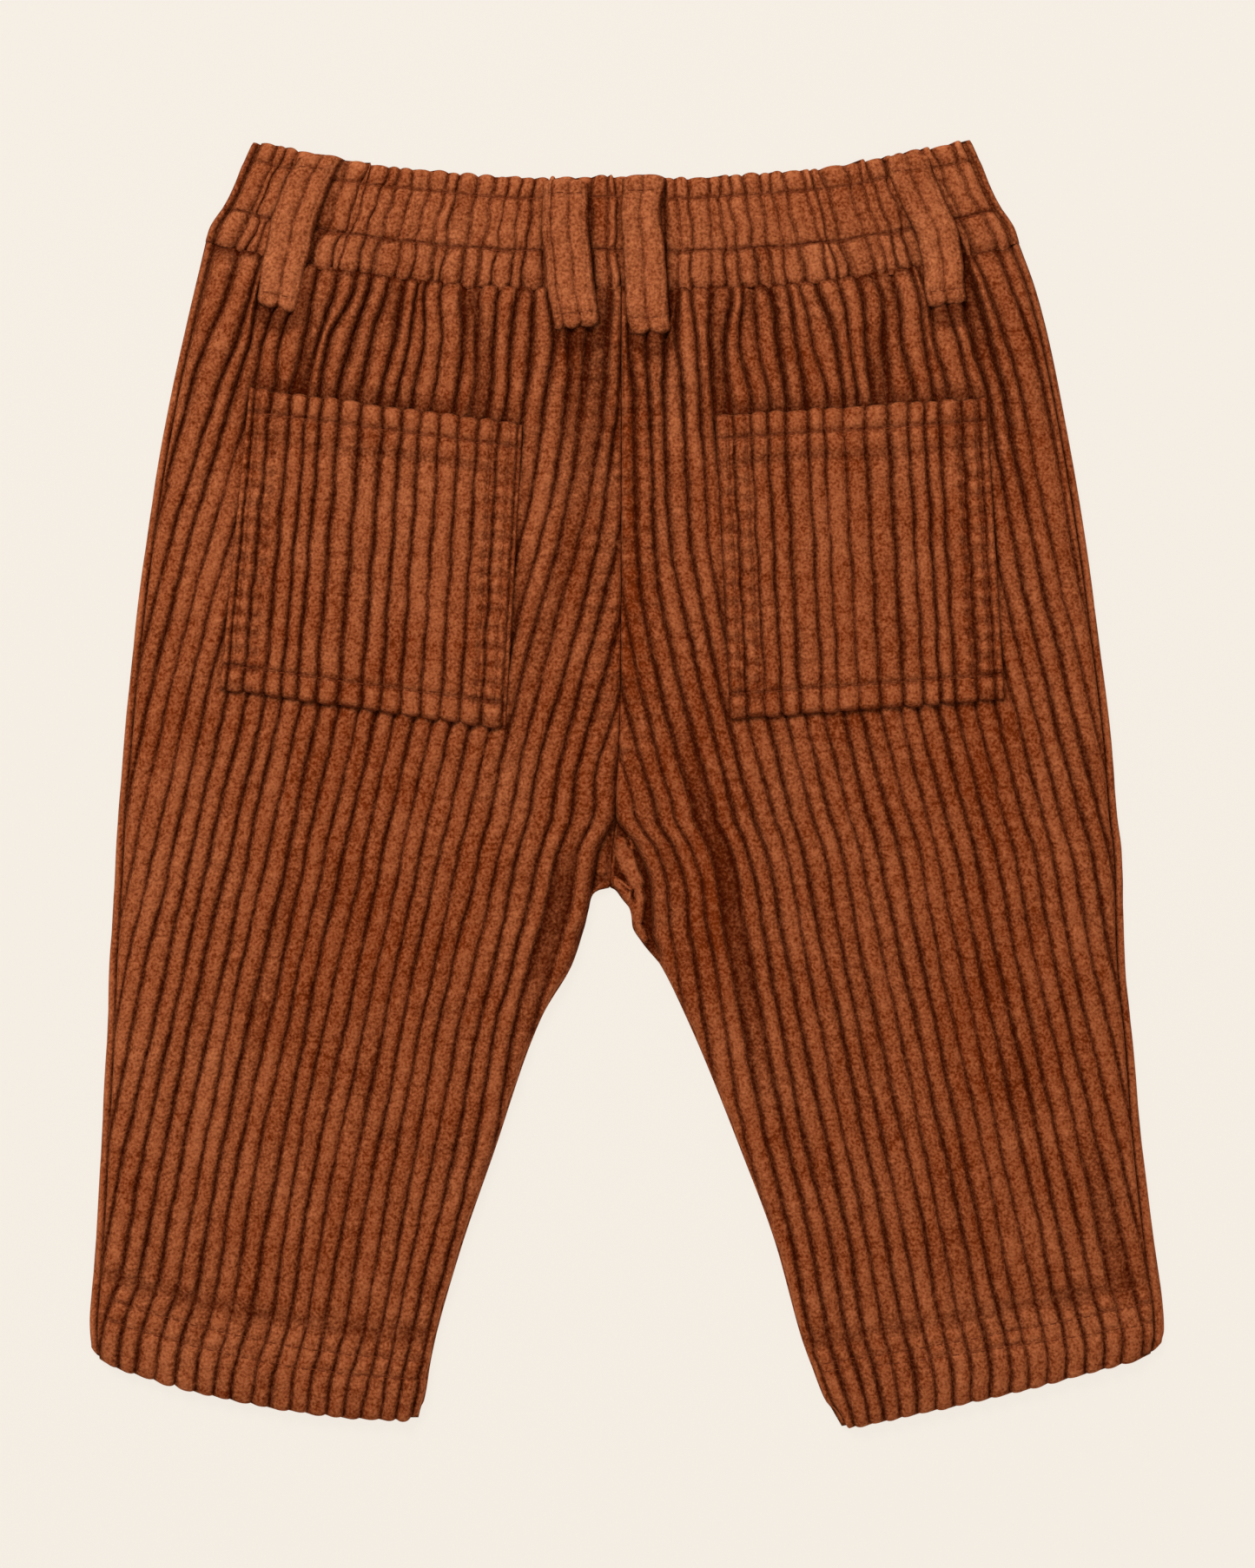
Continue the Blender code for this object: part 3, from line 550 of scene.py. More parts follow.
def uneven_shade(number, part, down, gathered, salt, flank_shade=PLAIN_FLANK_SHADE):
    """groove_shade() with grooves of uneven width, which are wider in the gathers, and with painted light along
    the wale tops.
    """

    def reach(groove):
        plain = 0.12 + 0.15 * chance(groove, salt + 81) + 0.05 * wave(groove, down, (47.0, 28.0), salt + 82)
        return plain + 0.2 * gathered * chance(groove, salt + 83) ** 2

    from_groove = ease(GROOVE_START, reach(number), flank_shade[0] * part)
    to_next = ease(GROOVE_START, reach(number + 1), flank_shade[1] * (1 - part))
    top = 0.92 - 0.08 * gathered + (0.07 + 0.12 * gathered) * near(part, 0.55, 0.27)
    return np.minimum(from_groove, to_next) * top


def wale_places(first, last, rim):
    """Where a row is sampled: at the same parts of every wale, and at the rim's distances from both ends."""
    grid = (np.arange(math.floor(first), math.ceil(last))[:, None] + np.array(WALE_PHASES)).ravel()
    grid = grid[(grid > first + 0.2) & (grid < last - 0.2)]
    return np.concatenate([first + np.array(rim), grid, (last - np.array(rim))[::-1]])


def loop_shadow(x, y):
    """Shade beside and below the belt loops, most at the lower right, as the light is at the upper left."""
    shade = 1.0
    for _, places, widths, _, _ in LOOPS:
        apart = distance_to(x - 0.8, y + 0.6, places[1:]) - widths[-1] / 2
        shade = shade * (1 - 0.62 * fade(0.0, 2.6, apart))
    return shade


def light_and_shade_at(points):
    patch_light_and_shade = np.zeros(len(points))
    for x, y, reach_x, reach_y, strength in LIGHT_AND_SHADE_PATCHES:
        patch_light_and_shade = patch_light_and_shade + strength * near(points[:, 0], x, reach_x) * near(points[:, 1], y, reach_y)
    return patch_light_and_shade


# ---------------------------------------------------------------- meshes


def strip(low, high, low_ids, high_ids):
    """Triangles between two rows of points, each sorted by its place across the cloth."""
    faces = []
    i = j = 0
    last_i, last_j = len(low) - 1, len(high) - 1
    while i < last_i or j < last_j:
        if j == last_j or (i < last_i and low[i + 1] <= high[j + 1]):
            faces.append((low_ids[i], low_ids[i + 1], high_ids[j]))
            i += 1
        else:
            faces.append((low_ids[i], high_ids[j + 1], high_ids[j]))
            j += 1
    return faces


def turned(faces):
    return [face[::-1] for face in faces]


def add_piece(name, points, faces, material):
    """A smooth piece. The points are in millimetres."""
    mesh = bpy.data.meshes.new(name)
    mesh.from_pydata((np.asarray(points) * MM).tolist(), [], faces)
    mesh.polygons.foreach_set("use_smooth", [True] * len(mesh.polygons))
    mesh.materials.append(material)
    piece = bpy.data.objects.new(name, mesh)
    bpy.context.scene.collection.objects.link(piece)
    return piece


def add_values(piece, name, values):
    attribute = piece.data.attributes.new(name, "FLOAT", "POINT")
    attribute.data.foreach_set("value", values.astype(np.float32))


def shell(name, outer, inner, material, flip=False, lighter=0.0):
    """A closed shell. outer and inner are lists of (level, places, points, shades), from the top row down.

    flip is for places that are counted towards -X.
    """
    points = []
    shades = []
    ids = []
    for rows in (outer, inner):
        numbers = []
        for _, places, xyz, shade in rows:
            start = sum(len(row) for row in points)
            numbers.append(list(range(start, start + len(places))))
            points.append(xyz)
            shades.append(np.broadcast_to(shade, (len(places),)))
        ids.append(numbers)
    faces = []
    for side, rows in enumerate((outer, inner)):
        part = []
        for r in range(len(rows) - 1):
            part += strip(list(rows[r][1]), list(rows[r + 1][1]), ids[side][r], ids[side][r + 1])
        faces += turned(part) if side else part
    levels = [[row[0] for row in rows] for rows in (outer, inner)]
    for end in (0, -1):
        across = strip(list(inner[end][1]), list(outer[end][1]), ids[1][end], ids[0][end])
        along = strip(levels[0], levels[1], [row[end] for row in ids[0]], [row[end] for row in ids[1]])
        for rim in (across, along):
            faces += turned(rim) if end else rim
    points = np.concatenate(points)
    piece = add_piece(name, points, turned(faces) if flip else faces, material)
    # painted light and shade: the broad patches, and the painted light of the waistband and belt loops
    add_values(piece, "patch_light_and_shade", light_and_shade_at(points) + lighter)
    add_values(piece, "shade", np.concatenate(shades))
    return piece


def thread(name, routes, material, radius=0.19, stitch=2.3, gap=0.7, sides=6):
    """Short rounded stitches along the given lines of points."""
    ring = [(math.cos(TAU * k / sides), math.sin(TAU * k / sides)) for k in range(sides)]
    stations = np.array([0.0, 0.12, 0.5, 0.88, 1.0])
    sizes = radius * np.array([0.35, 0.9, 1.0, 0.9, 0.35])
    heights = radius * np.array([-1.2, 0.0, 0.5, 0.0, -1.2])
    last = sides * (len(stations) - 1)
    points = []
    faces = []
    for route in routes:
        route = np.asarray(route)
        lengths = np.linalg.norm(np.diff(route, axis=0), axis=1)
        travelled = np.concatenate([[0], np.cumsum(lengths)])
        start = 0.4
        while start + stitch < travelled[-1]:
            stops = start + stitch * stations
            middle = np.stack([np.interp(stops, travelled, route[:, k]) for k in range(3)], axis=1)
            middle[:, 2] += heights
            ahead = middle[-1] - middle[0]
            ahead /= np.linalg.norm(ahead)
            side = np.cross(ahead, (0, 0, 1.0))
            side /= np.linalg.norm(side)
            up = np.cross(side, ahead)
            base = len(points)
            for centre, size in zip(middle, sizes):
                points += [centre + size * (a * side + b * up) for a, b in ring]
            for row in range(base, base + last, sides):
                for k in range(sides):
                    n = (k + 1) % sides
                    faces.append((row + k, row + n, row + sides + n, row + sides + k))
            faces.append(tuple(base + k for k in reversed(range(sides))))
            faces.append(tuple(base + last + k for k in range(sides)))
            start += stitch + gap
    return add_piece(name, points, faces, material)


# ---------------------------------------------------------------- materials


def linear(red, green, blue):
    """A colour given as on screen, from 0 to 255, as the linear values that shaders use."""
    values = []
    for level in (red, green, blue):
        level /= 255
        values.append(level / 12.92 if level < 0.04045 else ((level + 0.055) / 1.055) ** 2.4)
    return (*values, 1.0)


# The pile's flecks run from its dark colour to its light one; painted light, where the shade attribute is over
# 1 and in the broad light patches, pushes it towards the light one too.
PILE_DARK = linear(122, 46, 9)
PILE_LIGHT = linear(206, 121, 75)
# The colour of painted shade, mixed in where the shade attribute is low: in the grooves and hollows, in creases
# and beside raised pieces.
GROOVE_SHADOW = linear(63, 15, 0)
PILE_SHEEN = linear(240, 140, 80)
THREAD = linear(122, 56, 26)
PAPER = linear(72, 69, 66)
PAPER_GLOW = linear(244, 237, 227)


def plain_material(name, colour, rough, specular):
    """A new material and its shader."""
    material = bpy.data.materials.new(name)
    material.use_nodes = True
    shader = material.node_tree.nodes["Principled BSDF"]
    shader.inputs["Base Color"].default_value = colour
    shader.inputs["Roughness"].default_value = rough
    shader.inputs["Specular IOR Level"].default_value = specular
    return material, shader


def cloth_material(name):
    """Cotton pile with painted shade in the grooves, grained by the lie of the pile, and soft at a grazing
    angle. Broad patches add painted light and shade.
    """
    material, shader = plain_material(name, PILE_DARK, 1.0, 0.03)
    shader.inputs["Sheen Weight"].default_value = 0.1
    shader.inputs["Sheen Roughness"].default_value = 0.4
    shader.inputs["Sheen Tint"].default_value = PILE_SHEEN
    nodes = material.node_tree.nodes
    links = material.node_tree.links
    place = nodes.new("ShaderNodeTexCoord")

    def fill(sockets, values):
        for socket, value in zip(sockets, values):
            if isinstance(value, (float, tuple)):
                socket.default_value = value
            else:
                links.new(value, socket)

    def speckle(size_mm, detail):
        node = nodes.new("ShaderNodeTexNoise")
        node.inputs["Scale"].default_value = 1 / (size_mm * MM)
        node.inputs["Detail"].default_value = detail
        node.inputs["Roughness"].default_value = 0.5
        links.new(place.outputs["Object"], node.inputs["Vector"])
        return node.outputs["Fac"]

    def painted(attribute):
        node = nodes.new("ShaderNodeAttribute")
        node.attribute_name = attribute
        return node.outputs["Fac"]

    def combine(operation, *values, clamp=False):
        node = nodes.new("ShaderNodeMath")
        node.operation = operation
        node.use_clamp = clamp
        fill(node.inputs, values)
        return node.outputs[0]

    def grained(noise, strength, base, clamp=False):
        """The noise around its middle value, at this strength, added to the base."""
        return combine("MULTIPLY_ADD", combine("SUBTRACT", noise, 0.5), strength, base, clamp=clamp)

    def mixed(factor, first, second):
        node = nodes.new("ShaderNodeMix")
        node.data_type = "RGBA"
        fill([node.inputs[socket] for socket in ("Factor", "A", "B")], (factor, first, second))
        return node.outputs["Result"]

    shade = painted("shade")
    grain = speckle(0.8, 1.5)
    tuft = speckle(2.4, 1.0)
    patch = speckle(14.0, 2.0)
    # a painted shade over 1 makes the pile lighter, one under 1 mixes in the colour of painted shade
    light = grained(grain, 1.3, 0.32)
    light = grained(tuft, 0.55, light)
    light = combine("ADD", combine("SUBTRACT", shade, 1.0, clamp=True), light)
    light = grained(patch, 0.5, light)
    # the broad patches of painted light and shade
    light = combine("ADD", light, painted("patch_light_and_shade"), clamp=True)
    out_of_shade = grained(grain, 0.8, shade)
    out_of_shade = grained(tuft, 0.35, out_of_shade, clamp=True)
    pile = mixed(light, PILE_DARK, PILE_LIGHT)
    links.new(mixed(out_of_shade, GROOVE_SHADOW, pile), shader.inputs["Base Color"])

    bump = nodes.new("ShaderNodeBump")
    bump.inputs["Strength"].default_value = 0.5
    bump.inputs["Distance"].default_value = 0.5 * MM
    links.new(combine("MULTIPLY_ADD", tuft, 0.6, grain), bump.inputs["Height"])
    links.new(bump.outputs["Normal"], shader.inputs["Normal"])
    return material


# ---------------------------------------------------------------- the legs

# X of the seam between the two front panels, by how far below Y = 0 it is.
front_seam = smooth((9.2, 19.2, 25.0, 29.9), (-3.35, -4.3, -4.7, -5.0))


def width_of(row):
    return abs(row["inner_x"] - row["outer_x"])


class Leg:
    """One half of the trousers. down is the distance from the waist end of the side edge, measured in Y."""

    def __init__(self, rows, levels, grooves, fewer, folds, valleys, pocket, hem_lines, notch, flank_shade, salt):
        rows = named(LEG_COLUMNS, rows)
        self.top = rows[0]["outer_y"]
        self.mirrored = rows[0]["outer_x"] > 0
        downs = [self.top - row["outer_y"] for row in rows]
        self.curves = {column: smooth(downs, [row[column] for row in rows]) for column in LEG_COLUMNS}
        self.length = downs[-1]
        self.fewer = smooth(*zip(*fewer))
        self.hem_lines = hem_lines
        self.mouth = pocket[:2]
        self.pocket = (*pocket, pocket[0])
        self.notch = smooth(*zip(*notch))
        self.notch_end = notch[-1][0]
        self.flank_shade = flank_shade
        self.salt = salt
        self.numbers = np.arange(1, len(grooves[0]) + 1)
        self.offsets = [self.groove_offset(*groove, levels) for groove in zip(self.numbers, zip(*grooves))]
        self.folds = []
        for fold in named(FOLD_COLUMNS, folds):
            depths = (fold["seam"], fold["seam"], fold["mid"], fold["low"], 0.0)
            self.folds.append((fold["wale"], smooth((*FOLD_DOWNS, fold["foot"]), depths)))
        for valley in named(VALLEY_COLUMNS, valleys):
            stops = (valley["start"] - 1, valley["start"], valley["middle"], valley["foot"])
            self.folds.append((valley["wale"], smooth(stops, (0.0, 0.0, valley["deep"], 0.0))))

    def groove_offset(self, number, line, levels):
        """How far a groove of the gathers lies from where even wales would put it, as a share."""
        downs, shares = self.locate(line, levels)
        downs = np.maximum.accumulate(np.maximum(downs, GATHER_DOWNS))
        moved = []
        for down, share in zip(downs, shares):
            row = self.row(down)
            start = row["strip"] / width_of(row)
            even = (number - row["first"]) / (row["last"] - row["first"])
            moved.append((share - start) / (1 - start) - even)
        return smooth((0.0, *downs, GATHER_END), (moved[0], *moved, 0.0))

    def locate(self, x, y):
        """Distance down the leg and share across it of places in plan."""
        x = np.asarray(x, float)
        y = np.asarray(y, float)
        outer_x, outer_y, inner_x, inner_y, sag = [
            self.curves[column] for column in ("outer_x", "outer_y", "inner_x", "inner_y", "sag")
        ]
        level = np.clip(self.top - y, 0, self.length)
        for _ in range(4):
            share = (x - outer_x(level)) / (inner_x(level) - outer_x(level))
            row_y = outer_y(level) + share * (inner_y(level) - outer_y(level))
            row_y = row_y - 4 * sag(level) * share * (1 - share)
            level = np.clip(level + (row_y - y), 0, self.length)
        return level, share

    def row(self, down):
        """The sizes of the row at this distance down the leg, with the seams closed."""
        row = {column: float(curve(down)) for column, curve in self.curves.items()}
        side = -1 if self.mirrored else 1
        row["inner_x"] += SEAM_CLOSE * side * fade(CENTRE_SEAM_END, CENTRE_SEAM_END + 5, down)
        to_seam = ease(*FRONT_SEAM_SHOWS, down)
        row["front_x"] += (SEAM_CLOSE * side + FRONT_SEAM_ASIDE) * (1 - to_seam)
        below = -row["inner_y"]
        if NOTCH_TOP <= below <= self.notch_end:
            row["front_x"] = float(self.notch(below))
        elif below < NOTCH_TOP:
            seam = float(front_seam(below)) + FRONT_SEAM_OVERLAP * side
            row["front_x"] += to_seam * (seam - row["front_x"])
        lifted = WAIST_CLOSE * fade(0, 8, down)
        row["outer_y"] += lifted
        row["inner_y"] += lifted
        row["last"] -= float(self.fewer(down))
        return row

    def spread(self, row, down, place):
        """Where a wale lies across the row, as a share, with the gathers' uneven widths."""
        along = (place - row["first"]) / (row["last"] - row["first"])
        # lower down the wales keep their width, and only those near the inner edge crowd together
        pitch = WALE_PITCH / (width_of(row) - row["strip"])
        excess = (row["last"] - row["first"]) * pitch - 1
        steady = (place - row["first"]) * pitch - excess * along**CROWDING
        along = along + ease(*STEADY_FROM, down) * (steady - along)
        if down >= GATHER_END:
            return along
        moved = [0.0, *(float(offset(down)) for offset in self.offsets), 0.0]
        inside = (self.numbers > row["first"] + 0.3) & (self.numbers < row["last"] - 0.3)
        keep = np.concatenate([[True], inside, [True]])
        stops = np.array([row["first"], *self.numbers, row["last"]])[keep]
        return along + smooth(stops, np.array(moved)[keep])(place)

    def inside(self, row, share):
        """Height of the back panel's inner face."""
        width = width_of(row)
        side_fall = (row["crown"] - BACK_LOWEST) * (1 - rise(share * width - row["strip"], SIDE_ROLL))
        inner_fall = (row["crown"] - row["edge"]) * (1 - rise((1 - share) * width, INSEAM_ROLL))
        return np.maximum(BACK_LOWEST, row["crown"] - side_fall - inner_fall)

    def plan(self, row, share, inner_x):
        x = row["outer_x"] + share * (inner_x - row["outer_x"])
        y = row["outer_y"] + share * (row["inner_y"] - row["outer_y"]) - 4 * row["sag"] * share * (1 - share)
        return x, y

    def corner(self, down, from_side, from_inner):
        """How far the corners of the hem are rounded up."""
        ends = near(from_side, 0.0, CORNER) + near(from_inner, 0.0, CORNER)
        return CORNER * ends * ease(self.length - 6, self.length, down)

    # Each of the next six gives what one feature adds to the height of the back panel's face, and the factors
    # that it puts on the depth of the wales and on the shade.

    def hem(self, spot):
        """The lines of stitching across the hem, and the dent above them where the turned-up cloth ends."""
        pinch = np.zeros_like(spot.share)
        for side_down, inner_down in self.hem_lines:
            line = side_down + spot.share * (inner_down - side_down)
            pinch = np.maximum(pinch, near(spot.down, line, 0.85))
        pinch = pinch * (0.15 + 0.85 * spot.draws.chance(97) ** 1.5)
        side_down, inner_down = self.hem_lines[0]
        hem_top = side_down + spot.share * (inner_down - side_down) - HEM_DENT
        dent = near(spot.down, hem_top + 0.9 * spot.draws.wave(95, 9.0, 6.0), 2.3)
        dent = dent * (0.6 + 0.6 * spot.draws.chance(98))
        height = 0.35 * ease(hem_top, hem_top + 3, spot.down) - 0.3 * pinch - 0.7 * dent
        return height, (1 - 0.5 * pinch) * (1 - 0.25 * dent), (1 - 0.3 * pinch) * (1 - 0.45 * dent)

    def creases(self, spot):
        height, shade = 0.0, 1.0
        for deep, reach, line in CREASES:
            crease = deep * near(distance_to(spot.x, spot.y, line), 0.0, reach)
            crease = crease * (0.5 + 0.8 * spot.draws.chance(47))
            height = height - crease
            shade = shade * (1 - 0.5 * crease)
        return height, 1.0, shade

    def seam_beads(self, spot):
        """Beside the centre seam the wales are drawn up into beads."""
        beside = fade(9.0, 14.0, (1 - spot.share) * spot.width) * ease(12.0, 30.0, spot.down)
        beside = beside * fade(135.0, 160.0, spot.down)
        bead = beside * np.sin(TAU * (spot.down / SEAM_BEAD + 0.6 * spot.draws.chance(91)))
        return 0.22 * bead, 1.0, 1 - 0.13 * (beside - bead)

    def waist_seam(self, spot):
        """The seam at the waist, where the cloth is caught and drawn in, with painted shadow just below the
        band.
        """
        reach = 0.8 + 4.5 * spot.draws.chance(62) ** 2
        caught = 1 - rise(spot.down, 3.0 + reach)
        uneven = (spot.draws.chance(61) - 0.5) * fade(8.0, 60.0, spot.down)
        return 0.5 * uneven - 0.7 * caught, 1 - 0.55 * caught, 1 - 0.85 * fade(0.0, 1.2 + reach, spot.down)

    def sunk_wales(self, spot):
        sunk = np.zeros_like(spot.place)
        for wale, depth in self.folds:
            beside = np.abs(spot.place - wale) / 0.85
            sunk = sunk + float(depth(spot.down)) * ease(0, 0.6, np.clip(1 - beside, 0, 1))
        sunk = np.minimum(sunk, MOST_FOLD)
        return -sunk, 1.0, 1 - 0.34 * sunk

    def by_pocket(self, spot):
        """Behind the pocket's mouth the cloth dips into shade, which is beside the pocket and loops too."""
        (left_x, left_y), (right_x, right_y) = self.mouth
        above = spot.y - left_y - (spot.x - left_x) / (right_x - left_x) * (right_y - left_y)
        from_end = np.minimum(spot.x - min(left_x, right_x), max(left_x, right_x) - spot.x)
        behind = ease(-2.0, 3.0, from_end) * fade(0.5, 8.0, above) * ease(-20.0, -10.0, above)
        beside = fade(0.0, 2.4, distance_to(spot.x, spot.y, self.pocket))
        shade = (1 - 0.6 * behind) * (1 - 0.4 * beside) * loop_shadow(spot.x, spot.y)
        return -0.8 * behind, 1.0, shade

    def surface(self, down, place):
        """Outer face of the back panel: points and shades."""
        row = self.row(down)
        place = np.asarray(place, float)
        width = width_of(row)
        along = self.spread(row, down, place)
        # the wales wander to both sides, on three scales
        wander = 0.2 * blended_wave(place, down, (37.0, 21.0), self.salt)
        drift = 0.45 * blended_wave(place, down, (170.0, 95.0), self.salt + 70) * ease(20.0, 70.0, down)
        knobs = 0.14 * blended_wave(place, down, (11.0, 6.5), self.salt + 33)
        border = np.minimum(along, 1 - along) * width
        along = along + (wander + drift + knobs) / width * ease(0.0, 5.0, border)
        start = row["strip"] / width
        share = start + along * (1 - start)
        x, y = self.plan(row, share, row["inner_x"])

        number = np.floor(place)
        draws = Draws(number, down, self.salt)
        part = place - number
        part = np.clip(part + 0.2 * draws.wave(20, 60.0, 35.0) * part * (1 - part), 0, 1)
        gathered = fade(*GATHERS_FADE, down)
        small_wave = draws.wave(46, 12.0, 7.0)
        height = WALE_FLOOR + row["lift"] + 0.10 * draws.wave(50, 45.0, 26.0)
        full = (1 + 0.12 * (draws.chance(31) - 0.5) + 0.10 * small_wave) * (1 + 0.35 * gathered)
        shade = uneven_shade(number, part, down, gathered, self.salt, self.flank_shade) * (1 + 0.06 * small_wave)
        shade = shade * (1 + 0.12 * (draws.chance(44) - 0.45) + 0.06 * draws.wave(45, 62.0, 38.0))
        spot = SimpleNamespace(x=x, y=y, down=down, place=place, share=share, width=width, draws=draws)
        features = (self.hem, self.creases, self.seam_beads, self.waist_seam, self.sunk_wales, self.by_pocket)
        for feature in features:
            higher, fuller, lighter = feature(spot)
            height, full, shade = height + higher, full * fuller, shade * lighter
        top = BACKING + height + WALE_DEPTH * full * wale_profile(part)

        # along the centre seam the stitches pull dents into both panels at the same places, with painted shade
        # in the dents and painted light between them
        span = row["last"] - row["first"]
        side = (place - row["first"]) / span * width
        inner = (row["last"] - place) / span * width
        seam_part = ease(14.0, 26.0, down) * fade(142.0, 158.0, down)
        dents = 0.5 + 0.5 * np.sin(TAU * down / SEAM_STITCH + 1.4 * wave(0, down, (24.0, 15.0), 77))
        dents = seam_part * dents * (0.55 + 0.45 * wave(0, down, (19.0, 12.0), 78))
        shade = shade * (1 - 0.5 * dents * near(inner, 0.4, 2.6))
        shade = shade * (1 + 0.2 * (seam_part - dents) * near(inner, 1.2, 1.6))
        # rounding at the side seam, the centre seam or inseam, and the hem edge
        inner_roll = 2.2 + 2.4 * dents - 1.1 * seam_part
        from_hem = self.length - down
        rounding = 0.25 + 0.75 * rise(side, 2.0) * rise(inner, inner_roll) * rise(from_hem, 1.8)
        z = self.inside(row, share) + np.maximum(0.45, top * rounding)
        # painted shade along the side seam, and painted light on the inner edge and the hem's edge
        edge = 1 - np.minimum(rise(inner, 1.6), rise(from_hem, 1.6))
        shade = shade * (0.8 + 0.2 * rise(side, 1.8)) * (1 + 0.35 * edge)
        # the inner edge wavers a little where wales run off it
        waver = 0.35 * wave(0, down, (13.0, 7.5), self.salt + 99) * ease(NOTCH_DOWN, NOTCH_DOWN + 12, down)
        x = x + waver * near(inner, 0.0, 3.0)
        # the hem's edge is scalloped where the wales turn under it
        scallop = (0.7 + 0.5 * draws.chance(96)) * wale_profile(part)
        y = y - scallop * ease(self.length - 2.5, self.length, down) + self.corner(down, side, inner)
        return joined(x, y, z), shade

    def back(self, name, material):
        """The panel on top."""
        levels = [np.linspace(0, self.length, round(self.length / ROW_STEP))]
        levels.append([0.35, 0.8, self.length - 0.3, self.length - 0.7])
        for hem in self.hem_lines:
            middle = sum(hem) / 2
            levels.append([middle - 0.6, middle, middle + 0.6])
        outer = []
        for down in np.unique(np.concatenate(levels)):
            row = self.row(down)
            place = wale_places(row["first"], row["last"], LEG_RIM)
            outer.append((down, place, *self.surface(down, place)))
        inner = []
        along = np.linspace(0, 1, 14)
        for down in np.linspace(0, self.length, 60):
            row = self.row(down)
            start = row["strip"] / width_of(row)
            share = start + along * (1 - start)
            x, y = self.plan(row, share, row["inner_x"])
            z = np.maximum(BACK_LOWEST, self.inside(row, share) - 0.9 * fade(10, 45, down))
            place = row["first"] + along * (row["last"] - row["first"])
            inner.append((down, place, joined(x, y, z), INSIDE_SHADE))
        return shell(name, outer, inner, material, self.mirrored)

    def front(self, name, material, rolls, light_at_crotch):
        """The panel underneath. Only its turned-up side edge and its end at the crotch show from above."""
        outer = []
        inner = []
        lip_height = smooth((0.0, 0.18, 0.5, 0.85, 1.0), (1.0, 2.5, 3.1, 2.6, FRONT_WALL))
        levels = np.linspace(0, self.length, round(self.length / ROW_STEP))
        by_crotch = np.linspace(160.0, 215.0, 90)
        for down in np.unique(np.concatenate([levels, by_crotch])):
            row = self.row(down)
            width = abs(row["front_x"] - row["outer_x"])
            lip = row["strip"] - SEAM_GAP
            beneath = np.linspace(lip + 2, width - 18, 8)
            seam_side = np.linspace(width - 17, width, 36)
            distance = np.concatenate([np.linspace(0, 1, 13) * lip, beneath, seam_side])
            # the lip along the side edge, with the ends of the outermost wales
            on_lip = distance <= lip + 1e-6
            wale = row["first"] - distance / WALE_PITCH
            profile = wale_profile(wale - np.floor(wale))
            lip_z = lip_height(np.minimum(distance / lip, 1)) + 0.5 * (profile - 0.6) * rise(distance, 1.0)
            out = np.where(on_lip, 0.45 * (profile - 0.75) * (1 - distance / lip), 0)
            x, y = self.plan(row, (distance - out) / width, row["front_x"])
            # painted light on the outermost edge of the lip, and painted shade where it meets the back panel
            outside = 1 + 0.15 * fade(0.0, 1.2, distance)
            lip_shade = (0.8 + 0.3 * profile) * (0.4 + 0.6 * rise(lip - distance, 0.6)) * outside
            # the wales along the inner edge, and the rolls of cloth where the seams meet, with painted light on
            # the rolls
            wale = (width - distance) / WALE_PITCH + 0.1
            part = wale - np.floor(wale)
            raised = np.zeros_like(x)
            lit = np.zeros_like(x)
            for tall, reach, line in rolls:
                roll = rise(reach - distance_to(x, y, line), reach)
                raised = np.maximum(raised, tall * roll)
                lit = np.maximum(lit, (0.45 + 0.28 * tall) * ease(0.05, 0.75, roll))
            rest_z = FRONT_WALL - 0.5 + 0.5 * wale_profile(part) * ease(158.0, 168.0, down) + raised
            # below the notch only the edge of this panel shows, beside the inseam
            light = light_at_crotch + (0.95 - light_at_crotch) * ease(200.0, 212.0, down)
            rest_shade = np.maximum(light * groove_shade(part), lit)

            z = np.where(on_lip, lip_z, rest_z)
            z = np.where(distance > width - 1.6, 0.9 + (z - 0.9) * rise(width - distance, 1.6), z)
            y = y + self.corner(down, distance, width - distance)
            shade = np.where(on_lip, lip_shade, rest_shade)
            outer.append((down, distance / width, joined(x, y, z), shade))
            distance = np.concatenate([[0.0, 0.9], np.linspace(12, width, 10)])
            x, y = self.plan(row, distance / width, row["front_x"])
            y = y + self.corner(down, distance, width - distance)
            z = np.where(distance < 0.1, 0.7, 0.0)
            inner.append((down, distance / width, joined(x, y, z), UNDERSIDE_SHADE))
        return shell(name, outer, inner, material, self.mirrored)

    def crest(self, x, y):
        """Height of the wale tops at places in plan, on the back panel's solid."""
        level, share = self.locate(x, y)
        row = {column: curve(level) for column, curve in self.curves.items()}
        return self.inside(row, share) + BACKING + SOLID_WALE + np.maximum(0, row["lift"])

    def stitching(self):
        """Lines of stitches across the hem."""
        routes = []
        for side_down, inner_down in self.hem_lines:
            route = []
            for share in np.linspace(0.03, 0.985, 300):
                down = side_down + share * (inner_down - side_down)
                row = self.row(down)
                place = row["first"] + share * (row["last"] - row["first"])
                route.append(self.surface(down, np.array([place]))[0][0])
            routes.append(route)
        return routes


# ---------------------------------------------------------------- pockets


